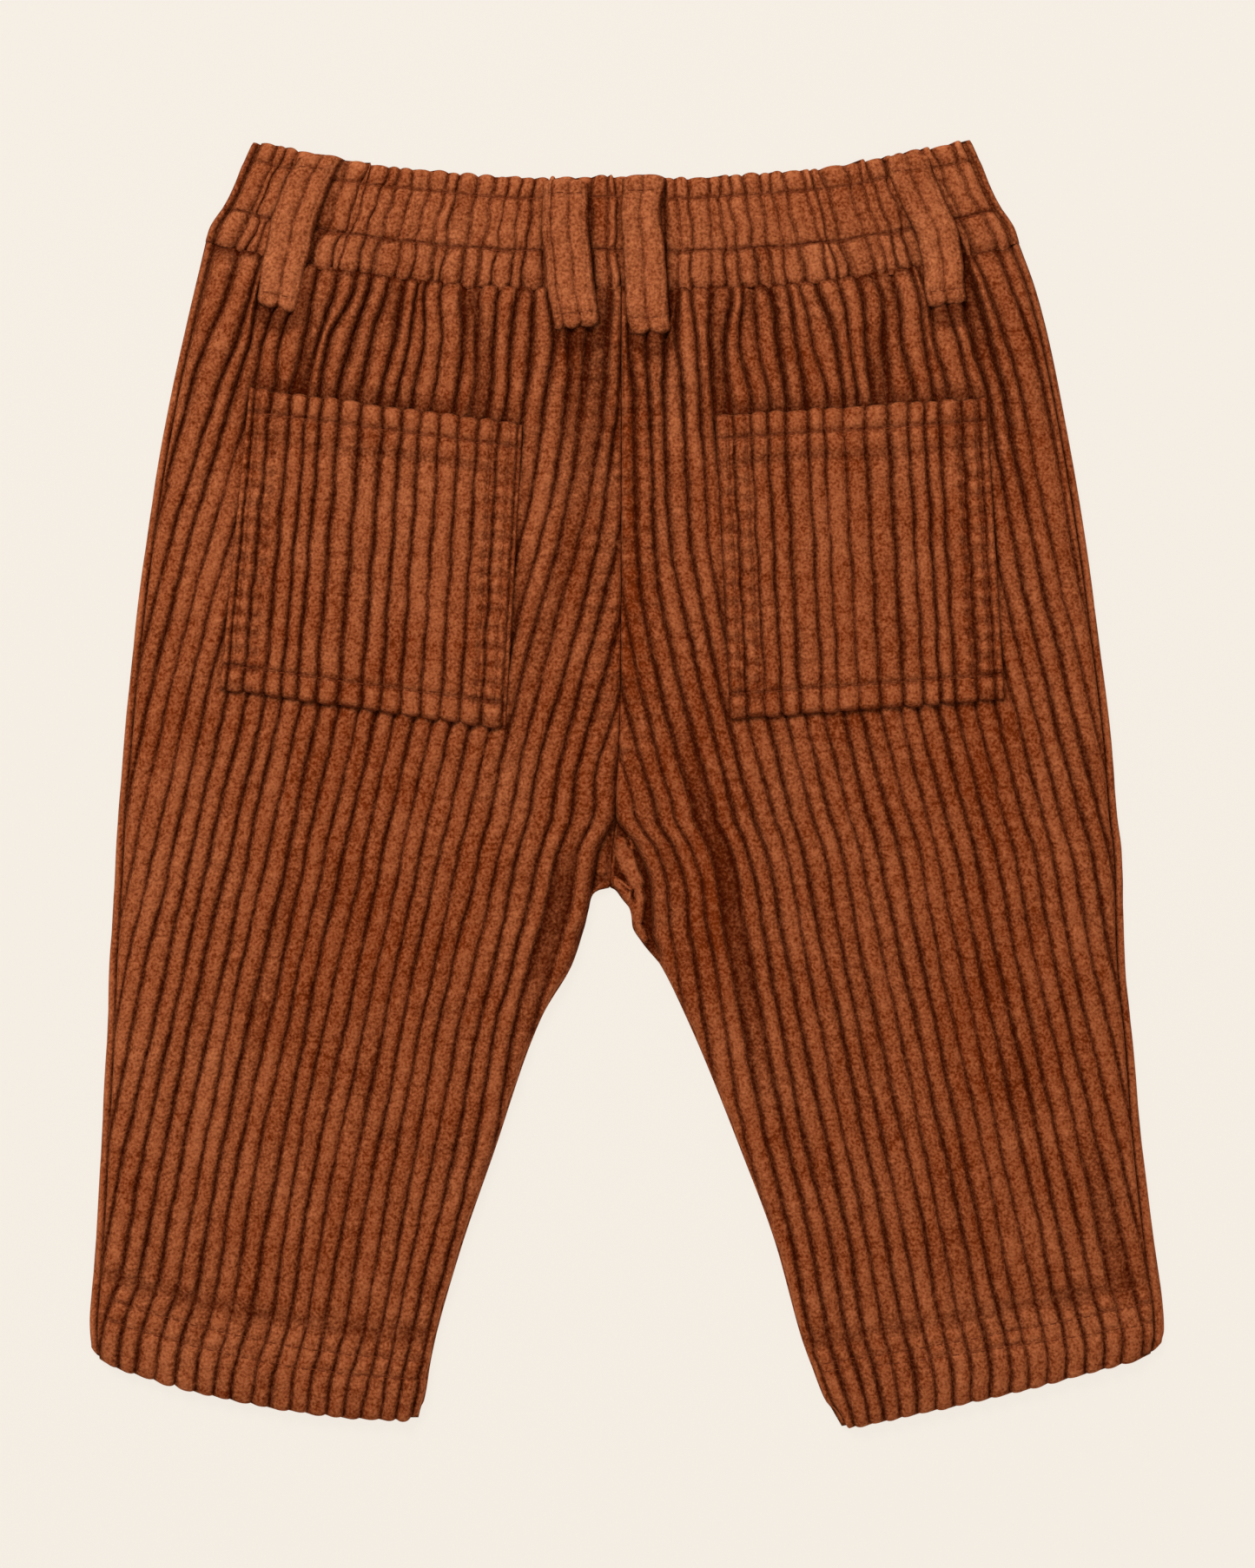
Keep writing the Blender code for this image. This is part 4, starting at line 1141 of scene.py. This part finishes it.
class Pocket:
    """A patch pocket. down is the distance below its top edge."""

    def __init__(self, name, leg, salt):
        self.name = name
        self.leg = leg
        self.salt = salt
        self.top_outer, self.top_inner, self.bottom_inner, self.bottom_outer = np.array(POCKET_CORNERS[name])
        grooves = POCKET_GROOVES[name]
        count = len(grooves)
        self.first = 1 - grooves[0] / (grooves[1] - grooves[0])
        self.last = count + (1 - grooves[-1]) / (grooves[-1] - grooves[-2])
        self.share_at = smooth([self.first, *range(1, count + 1), self.last], [0.0, *grooves, 1.0])
        self.width = float(np.linalg.norm(self.top_outer - self.top_inner))
        self.height = float(np.linalg.norm(self.top_outer - self.bottom_outer))
        self.lift = smooth(*zip(*POCKET_LIFTS))

    def plan(self, across, down):
        upper = self.top_outer + across[:, None] * (self.top_inner - self.top_outer)
        lower = self.bottom_outer + across[:, None] * (self.bottom_inner - self.bottom_outer)
        xy = upper + down / self.height * (lower - upper)
        return xy[:, 0], xy[:, 1]

    def surface(self, down, place):
        """Outer face: points and shades."""
        place = np.asarray(place, float)
        across = self.share_at(place)
        side = np.minimum(across, 1 - across) * self.width
        from_foot = self.height - down
        wander = 0.3 * blended_wave(place, down, (29.0, 15.0), self.salt)
        across = across + wander / self.width * ease(0, 4, side)
        x, y = self.plan(across, down)
        number = np.floor(place)
        draws = Draws(number, down, self.salt)
        part = place - number
        profile = wale_profile(part)
        small_wave = draws.wave(40, 12.0, 7.0)
        full = 1 + 0.12 * (draws.chance(31) - 0.5) + 0.10 * small_wave
        shade = uneven_shade(number, part, down, 0.1, self.salt)
        shade = shade * (1 + 0.10 * (draws.chance(44) - 0.45) + 0.06 * small_wave)

        # stitching along the top hem, the foot and the sides, with beads between the side lines
        pinch = np.maximum(near(down, POCKET_TOP_LINE, 0.8), near(from_foot, POCKET_FOOT_LINE, 0.8))
        side_lines = np.maximum(*(near(side, line, 0.6) for line in POCKET_SIDE_LINES)) * (from_foot > 6)
        beaded = fade(BEADED_WIDTH, BEADED_WIDTH + 2, side)
        bead = np.sin(TAU * (down / BEAD_LENGTH + 0.8 * draws.chance(51))) * beaded * ease(12, 18, down)
        # the dent where the top hem's turned-in cloth ends
        dent = near(down, POCKET_DENT + 0.8 * np.sin(TAU * across * 1.3 + self.salt), 1.5)
        dent = dent * (0.6 + 0.4 * ease(0.1, 0.6, across))
        full = full * (1 - 0.45 * pinch) * (1 - 0.3 * side_lines)
        height = WALE_FLOOR + float(self.lift(down)) - 0.2 * pinch - 0.45 * side_lines
        height = height - 0.4 * dent + 0.45 * bead
        shade = shade * (1 - 0.35 * pinch) * (1 - 0.4 * side_lines) * (1 - 0.35 * dent)
        shade = shade * (1 - 0.22 * (beaded - bead))
        top = BACKING + height + WALE_DEPTH * full * profile

        rounding = rise(side, 1.7) * rise(down, 1.6) * rise(from_foot, 1.7)
        z = self.leg.crest(x, y) + SEAM_GAP + np.maximum(0.1, top * (0.15 + 0.85 * rounding))
        scallop = 0.55 * (0.7 + 0.9 * draws.chance(61)) * profile
        y = y + 1.3 * scallop * fade(0, 2.5, down) - scallop * fade(0, 2.5, from_foot)
        # painted shade at the pocket's rounded edges, and painted light on its raised, stitched border
        shade = shade * (0.85 + 0.15 * rise(side, 1.0)) * (0.8 + 0.2 * rise(down, 1.0))
        shade = shade * (0.8 + 0.2 * rounding)
        border = np.maximum(fade(8.0, 10.0, side), 0.45 * fade(5.5, 7.5, min(down, from_foot)))
        return joined(x, y, z), shade * (1 + 0.22 * border)

    def piece(self, material):
        place = wale_places(self.first, self.last, POCKET_RIM)
        levels = np.linspace(0, self.height, round(self.height / 1.2))
        near_top = [0.3, 0.7, 1.2, 5.7, 6.3, 6.9]
        near_foot = self.height - np.array([7.2, 6.6, 6.0, 1.2, 0.7, 0.3])
        levels = np.unique(np.concatenate([levels, near_top, near_foot]))
        outer = [(down, place, *self.surface(down, place)) for down in levels]
        inner = []
        place = np.linspace(self.first, self.last, 20)
        for down in np.linspace(0, self.height, 24):
            x, y = self.plan(self.share_at(place), down)
            inner.append((down, place, joined(x, y, self.leg.crest(x, y) + SEAM_GAP), INSIDE_SHADE))
        return shell(self.name + "_cloth", outer, inner, material, self.leg.mirrored)

    def stitching(self):
        """Lines of stitches: across the top hem, across the foot, and two down each side."""
        table = np.linspace(self.first, self.last, 400)

        def place_at(shares):
            return np.interp(shares, self.share_at(table), table)

        margin = 2.6 / self.width
        across = place_at(margin + np.linspace(0, 1, 160) * (1 - 2 * margin))
        foot = self.height - POCKET_FOOT_LINE
        routes = [self.surface(down, across)[0] for down in (POCKET_TOP_LINE, foot)]
        for inset in POCKET_SIDE_LINES:
            for share in (inset / self.width, 1 - inset / self.width):
                place = place_at(np.array([share]))
                downs = np.linspace(1.0, foot, 120)
                routes.append(np.array([self.surface(down, place)[0][0] for down in downs]))
        return routes


# ---------------------------------------------------------------- waistband

# Height of the gathers' tops over the inner face, by share down the band.
band_crest = smooth(
    (0.0, 0.04, 0.10, 0.16, 0.18, 0.205, 0.26, 0.43, 0.60, 0.648, 0.67, 0.695, 0.75, 0.90, 1.0),
    (1.2, 2.3, 2.8, 2.45, 1.8, 2.55, 3.1, 3.4, 3.1, 2.5, 1.7, 2.9, 3.4, 3.2, 2.2),
)


def band_plan(place, down, inset):
    """Plan of the waistband.

    place is a gather number, from 0 at the wearer's left end, down a share down from the top edge, and inset
    how far the ends are held back.
    """
    half = BAND_GATHERS / 2
    place = np.asarray(place, float)
    right = place >= half
    share_out = np.abs(place - half) / half
    edges = []
    for edge in (BAND_TOP, BAND_SEAM):
        (cx, cy), (left_x, left_y), (right_x, right_y) = edge["centre"], edge["left"], edge["right"]
        edges.append((cx, cy, np.where(right, right_x, left_x) - cx, np.where(right, right_y, left_y) - cy))
    reach = (1 - down) * abs(edges[0][2]) + down * abs(edges[1][2])
    share_out = share_out * (1 - inset / reach)
    (top_x, top_y), (seam_x, seam_y) = (
        (cx + share_out * dx, cy + share_out * dy - 4 * edge["sag"] * share_out * (1 - share_out))
        for (cx, cy, dx, dy), edge in zip(edges, (BAND_TOP, BAND_SEAM))
    )
    # the turned-in strip below the second line of stitches bulges out at the band's ends
    bulge = 0.8 * near(down, 0.84, 0.12) - 0.6 * near(down, 0.5, 0.2)
    out = np.where(right, 1.0, -1.0) * bulge * ease(0.9, 1.0, share_out)
    return top_x + down * (seam_x - top_x) + out, top_y + down * (seam_y - top_y)


def band_surface(down, place):
    """Outer face of the waistband's back half: points and shades."""
    place = np.asarray(place, float)
    groove = np.floor(place)
    draws = Draws(groove, BAND_HEIGHT * down, BAND_SALT)
    part = place - groove
    # each line of stitching shifts the gathers a little, so they do not run on quite straight
    frill = fade(FIRST_STITCH - 0.03, FIRST_STITCH + 0.03, down)
    turning = ease(SECOND_STITCH - 0.03, SECOND_STITCH + 0.03, down)

    def shift(number):
        draws = Draws(number, BAND_HEIGHT * down, BAND_SALT)
        base = 0.7 * (draws.chance(1) - 0.5)
        base = base + frill * 0.45 * (draws.chance(2) - 0.5) + turning * 0.7 * (draws.chance(3) - 0.5)
        inner = (number > 0.5) & (number < BAND_GATHERS - 0.5)
        return np.where(inner, base + 0.12 * draws.wave(10, 19.0, 11.0), 0)

    moved = place + (1 - part) * shift(groove) + part * shift(groove + 1)
    x, y = band_plan(moved, down, BAND_INSET)
    y = y + 0.28 * np.sin(TAU * moved / 11.0 + 1.0) * (1 - down)
    y = y + 0.5 * np.sin(TAU * moved / 3.7) * turning * fade(0.9, 1.0, down)
    profile = wale_profile(part, 2.2, 0.8)
    # some gathers are double, with a shallow crease along their middle
    double = (draws.chance(31) > 0.55) * (1 - 0.5 * turning)
    crease = double * near(part, 0.42 + 0.16 * draws.chance(32), 0.07)
    deep = 0.8 * (draws.chance(21) - 0.5) + turning * 0.5 * (draws.chance(22) - 0.5)
    first_pinch = near(down, FIRST_STITCH, 0.022)
    second_pinch = near(down, SECOND_STITCH, 0.026)
    pinch = np.maximum(first_pinch, second_pinch)
    crest = float(band_crest(down)) + deep * (1 - pinch) - 0.35 * crease
    groove_depth = (1.75 + 0.5 * (draws.chance(23) - 0.5)) * (1 - 0.6 * pinch)
    groove_depth = groove_depth * (1 - 0.15 * ease(0.2, 0.3, down) * (1 - turning))
    from_end = np.minimum(place, BAND_GATHERS - place) * BAND_PITCH
    z = (crest - groove_depth * (1 - profile)) * (0.25 + 0.75 * rise(from_end, 2.2))
    shade = uneven_shade(groove, part, BAND_HEIGHT * down, 0.2 + 0.3 * (frill + turning), BAND_SALT + 50)
    # painted light on the higher gathers and along the top edge, and painted shade at the lines of stitching,
    # at the band's ends, along the waist seam and beside the loops
    shade = shade + (0.36 - 0.14 * np.maximum(frill, turning)) * (1 - shade)
    shade = shade * (1 - 0.35 * crease) * (1 - 0.4 * first_pinch) * (1 - 0.6 * second_pinch)
    shade = shade * (1.2 - 0.2 * ease(0, 0.07, down)) * (1 - 0.55 * ease(0.94, 1.0, down))
    shade = shade * (0.5 + 0.5 * rise(from_end, 1.8)) * (1 + 0.3 * deep) * loop_shadow(x, y)
    scallop = (0.5 + draws.chance(41)) * profile
    y = y + 0.7 * scallop * fade(0, 0.05, down) - 1.3 * scallop * ease(0.90, 1.0, down)
    return joined(x, y, BAND_BACK_INSIDE + np.maximum(0.3, z)), shade


def band_back(name, material):
    phases = np.array([0.0, 0.04, 0.1, 0.2, 0.35, 0.5, 0.65, 0.8, 0.9, 0.96])
    place = np.append((np.arange(BAND_GATHERS)[:, None] + phases).ravel(), float(BAND_GATHERS))
    by_stitch = np.array([-0.04, -0.025, -0.012, 0, 0.012, 0.025, 0.04])
    by_edge = [0.01, 0.02, 0.98, 0.99]
    levels = [np.linspace(0, 1, 34), FIRST_STITCH + by_stitch, SECOND_STITCH + by_stitch, by_edge]
    outer = [(down, place, *band_surface(down, place)) for down in np.unique(np.concatenate(levels))]
    inner = []
    place = np.linspace(0, BAND_GATHERS, 41)
    for down in np.linspace(0, 1, 8):
        x, y = band_plan(place, down, BAND_INSET)
        inner.append((down, place, joined(x, y, BAND_BACK_INSIDE), INSIDE_SHADE))
    return shell(name, outer, inner, material, lighter=BAND_PAINTED_LIGHT)


def band_front(name, material):
    """The half underneath. Its ends are turned up and show beside the back half."""
    lip_height = smooth((0.0, 0.09, 0.23, 0.39, 0.51), (1.4, 3.6, 4.6, 4.2, BAND_FRONT_WALL))
    fine = np.linspace(0, 0.51, 12)
    place = np.concatenate([fine, np.linspace(1.2, BAND_GATHERS - 1.2, 30), (BAND_GATHERS - fine)[::-1]])
    ends = np.minimum(place, BAND_GATHERS - place)
    far = [BAND_GATHERS - 0.2, BAND_GATHERS]
    under = np.concatenate([[0.0, 0.2], np.linspace(4, BAND_GATHERS - 4, 22), far])
    under_z = np.where((under < 0.1) | (under > BAND_GATHERS - 0.1), 0.6, 0.0)
    outer = []
    inner = []
    for down in np.linspace(0, 1, 34):
        pinch = max(near(down, FIRST_STITCH, 0.03), near(down, SECOND_STITCH, 0.03))
        thinner = 0.9 * (1 - rise(down, 0.05) * rise(1 - down, 0.05))
        z = np.where(ends < 0.6, lip_height(ends), BAND_FRONT_WALL) - thinner - 0.5 * pinch * (ends < 0.6)
        z = z + np.where(ends < 0.5, 0.15 * np.sin(TAU * (down * 4.3 + 0.2)), 0)
        x, y = band_plan(place, down, 0.0)
        lip_shade = 0.55 + 0.4 * np.sin(np.pi * np.clip(ends / 0.46, 0, 1))
        shade = np.where(ends < 0.5, lip_shade, 0.5) * (1 - 0.3 * pinch)
        outer.append((down, place, joined(x, y, z), shade))
        x, y = band_plan(under, down, 0.0)
        inner.append((down, under, joined(x, y, under_z), UNDERSIDE_SHADE))
    return shell(name, outer, inner, material)


def band_stitching():
    place = np.linspace(0.5, BAND_GATHERS - 0.5, 900)
    return [band_surface(down, place)[0] for down in (FIRST_STITCH, SECOND_STITCH)]


# ---------------------------------------------------------------- belt loops


class Loop:
    """A belt loop. along is a share of its length, and part a share of its width, from its middle."""

    def __init__(self, name, places, widths, tilts, ribs, salt):
        self.name = name
        steps = np.linspace(0, 1, len(places))
        self.x = smooth(steps, [x for x, _ in places])
        self.y = smooth(steps, [y for _, y in places])
        self.width = smooth(steps, widths)
        self.tilts = tilts
        self.ribs = np.array(ribs)
        self.salt = salt
        shares, inner_z, outer_z = zip(*LOOP_ROWS)
        self.inner_z = smooth(shares, inner_z)
        self.outer_z = smooth(shares, outer_z)
        self.length = math.dist(places[0], places[-1])

    def plan(self, along, part):
        """Place in plan, with rounded corners where the loop turns over the band's edge."""
        tilt = self.tilts[0] + along * (self.tilts[1] - self.tilts[0])
        reach = part * float(self.width(along)) / math.hypot(1, tilt)
        corners = (0.8 + 9.0 * np.abs(part) ** 3) * fade(0.0, 0.07, along)
        return float(self.x(along)) + reach, float(self.y(along)) + reach * tilt - corners

    def surface(self, along, part):
        """Outer face: points and shades."""
        part = np.asarray(part, float)
        rib = np.clip(np.searchsorted(self.ribs, part, side="right") - 1, 0, len(self.ribs) - 2)
        left = self.ribs[rib]
        within = np.clip((part - left) / (self.ribs[rib + 1] - left), 0, 1)
        profile = wale_profile(within, 2.0, 0.8)
        travelled = along * self.length
        x, y = self.plan(along, part)
        x = x + 0.35 * float(wave(0, travelled, (23.0, 13.0), self.salt + 5))
        y = y + (1.0 - 1.7 * profile) * ease(0.93, 1.0, along)
        side_lines = np.maximum(near(part, -0.37, 0.03), near(part, 0.37, 0.03))
        across = near(along, LOOP_TOP_LINE, 0.022) + near(along, LOOP_FOOT_LINE, 0.018)
        weave = 0.25 * wave(0, travelled, (11.0, 7.0), self.salt + 9)
        lined = 0.5 + 0.5 * np.sin(TAU * (part * 6.5 + weave))
        rib_height = 1.45 + 0.25 * wave(rib, travelled, (15.0, 8.0), self.salt) - 0.35 * across
        height = rib_height * profile - 0.3 * side_lines - 0.12 * lined
        edge = rise((0.5 - np.abs(part)) * float(self.width(along)), 1.6)
        starting = rise(travelled, 2.0)
        ending = rise((1 - along) * self.length, 2.2)
        under = float(self.inner_z(along))
        rounding = (0.2 + 0.8 * edge) * (0.25 + 0.75 * ending) * (0.4 + 0.6 * starting)
        z = under + np.maximum(0.1, (float(self.outer_z(along)) + height - under) * rounding)
        shade = 0.3 + 0.7 * groove_shade(within, 0.13)
        shade = shade * (0.5 + 0.5 * edge) * (1 - 0.25 * across) * (1 - 0.2 * side_lines) * (1 - 0.1 * lined)
        shade = shade * (0.45 + 0.55 * ending) * (0.6 + 0.4 * starting)
        return joined(x, y, z), shade

    def piece(self, material):
        phases = np.array([0.0, 0.04, 0.1, 0.18, 0.27, 0.36, 0.45, 0.54, 0.63, 0.72, 0.81, 0.89, 0.95])
        parts = [left + phases * (right - left) for left, right in zip(self.ribs, self.ribs[1:])]
        parts = np.append(np.concatenate(parts), 0.5)
        levels = np.concatenate([np.linspace(0, 1, 46), [0.004, 0.01, 0.016, 0.03, 0.97, 0.985, 0.993]])
        outer = [(along, parts, *self.surface(along, parts)) for along in np.unique(levels)]
        inner = []
        parts = np.linspace(-0.5, 0.5, 5)
        for along in np.linspace(0, 1, 16):
            x, y = self.plan(along, parts)
            inner.append((along, parts, joined(x, y, float(self.inner_z(along))), INSIDE_SHADE))
        return shell(self.name + "_cloth", outer, inner, material, lighter=LOOP_PAINTED_LIGHT)

    def stitching(self):
        across = np.linspace(-0.42, 0.42, 40)
        return [self.surface(along, across)[0] for along in (LOOP_TOP_LINE, LOOP_FOOT_LINE)]


# ---------------------------------------------------------------- building

corduroy = cloth_material("corduroy_pile")
left_leg = Leg(
    LEFT_LEG, LEFT_LEVELS, LEFT_GROOVES, LEFT_FEWER, LEFT_FOLDS, LEFT_VALLEYS,
    POCKET_CORNERS["pocket_left"], LEFT_HEM_LINES, LEFT_NOTCH, LEFT_FLANK_SHADE, LEFT_SALT,
)
right_leg = Leg(
    RIGHT_LEG, RIGHT_LEVELS, RIGHT_GROOVES, RIGHT_FEWER, RIGHT_FOLDS, RIGHT_VALLEYS,
    POCKET_CORNERS["pocket_right"], RIGHT_HEM_LINES, RIGHT_NOTCH, RIGHT_FLANK_SHADE, RIGHT_SALT,
)
pockets = [Pocket("pocket_left", left_leg, POCKET_SALT), Pocket("pocket_right", right_leg, POCKET_SALT + 100)]
loops = [Loop(*loop, LOOP_SALT + 20 * number) for number, loop in enumerate(LOOPS)]

made = {
    "front_left": left_leg.front("front_left_cloth", corduroy, LEFT_CROTCH, LEFT_CROTCH_LIGHT),
    "front_right": right_leg.front("front_right_cloth", corduroy, RIGHT_CROTCH, RIGHT_CROTCH_LIGHT),
    "back_left": left_leg.back("back_left_cloth", corduroy),
    "back_right": right_leg.back("back_right_cloth", corduroy),
    "waistband_front": band_front("waistband_front_cloth", corduroy),
    "waistband_back": band_back("waistband_back_cloth", corduroy),
}
made.update((part.name, part.piece(corduroy)) for part in (*pockets, *loops))

# For each set of stitches, its slot and its lines.
stitching = {
    "hem": ("corduroy", left_leg.stitching() + right_leg.stitching()),
    "pocket": ("corduroy_pocket", sum((pocket.stitching() for pocket in pockets), [])),
    "loop": ("corduroy_loop", sum((loop.stitching() for loop in loops), [])),
    "waistband": ("corduroy_waistband", band_stitching()),
}

for node, piece in made.items():
    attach(piece, "root")
    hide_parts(node)
thread_colour, _ = plain_material("sewing_thread", THREAD, 0.9, 0.1)
for name, (slot_name, routes) in stitching.items():
    piece = thread(name + "_stitching", routes, thread_colour)
    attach(piece, "root")

# ---------------------------------------------------------------- floor, light and camera

bpy.ops.mesh.primitive_plane_add(size=6.0, location=(0, 0, -0.0004))
floor = bpy.context.object
floor.name = "floor"
paper, paper_shader = plain_material("paper", PAPER, 1.0, 0.0)
paper_shader.inputs["Emission Color"].default_value = PAPER_GLOW
paper_shader.inputs["Emission Strength"].default_value = 0.945
floor.data.materials.append(paper)


def area_light(name, place, size, power):
    """A round lamp that faces the middle of the trousers."""
    light = bpy.data.lights.new(name, "AREA")
    light.shape = "DISK"
    light.size = size
    light.energy = power
    lamp = bpy.data.objects.new(name, light)
    lamp.location = place
    x, y, z = place
    lamp.rotation_euler = (0.0, -math.atan2(math.hypot(x, y), z), math.atan2(-y, -x))
    bpy.context.scene.collection.objects.link(lamp)


area_light("key", (-0.5, 0.95, 1.45), 0.7, 21.5)
area_light("fill", (0.5, -0.4, 2.0), 1.6, 7.0)

world = bpy.data.worlds.new("studio")
bpy.context.scene.world = world
world.use_nodes = True
background = world.node_tree.nodes["Background"]
background.inputs["Color"].default_value = (1.0, 0.98, 0.95, 1.0)
background.inputs["Strength"].default_value = 0.24
bpy.context.scene.view_settings.view_transform = "Standard"

# The camera looks straight down, and the picture's height covers VIEW_HEIGHT metres at the cloth's level.
VIEW_HEIGHT = 0.4515
CLOTH_LEVEL = 0.003
SENSOR = 36.0
LENS = 100.0
camera_data = bpy.data.cameras.new("camera")
camera_data.sensor_fit = "VERTICAL"
camera_data.sensor_height = SENSOR
camera_data.lens = LENS
camera_data.clip_start = 0.01
camera_data.clip_end = 20.0
camera = bpy.data.objects.new("camera", camera_data)
camera.location = (0.0, 0.0, VIEW_HEIGHT * LENS / SENSOR + CLOTH_LEVEL)
bpy.context.scene.collection.objects.link(camera)
bpy.context.scene.camera = camera
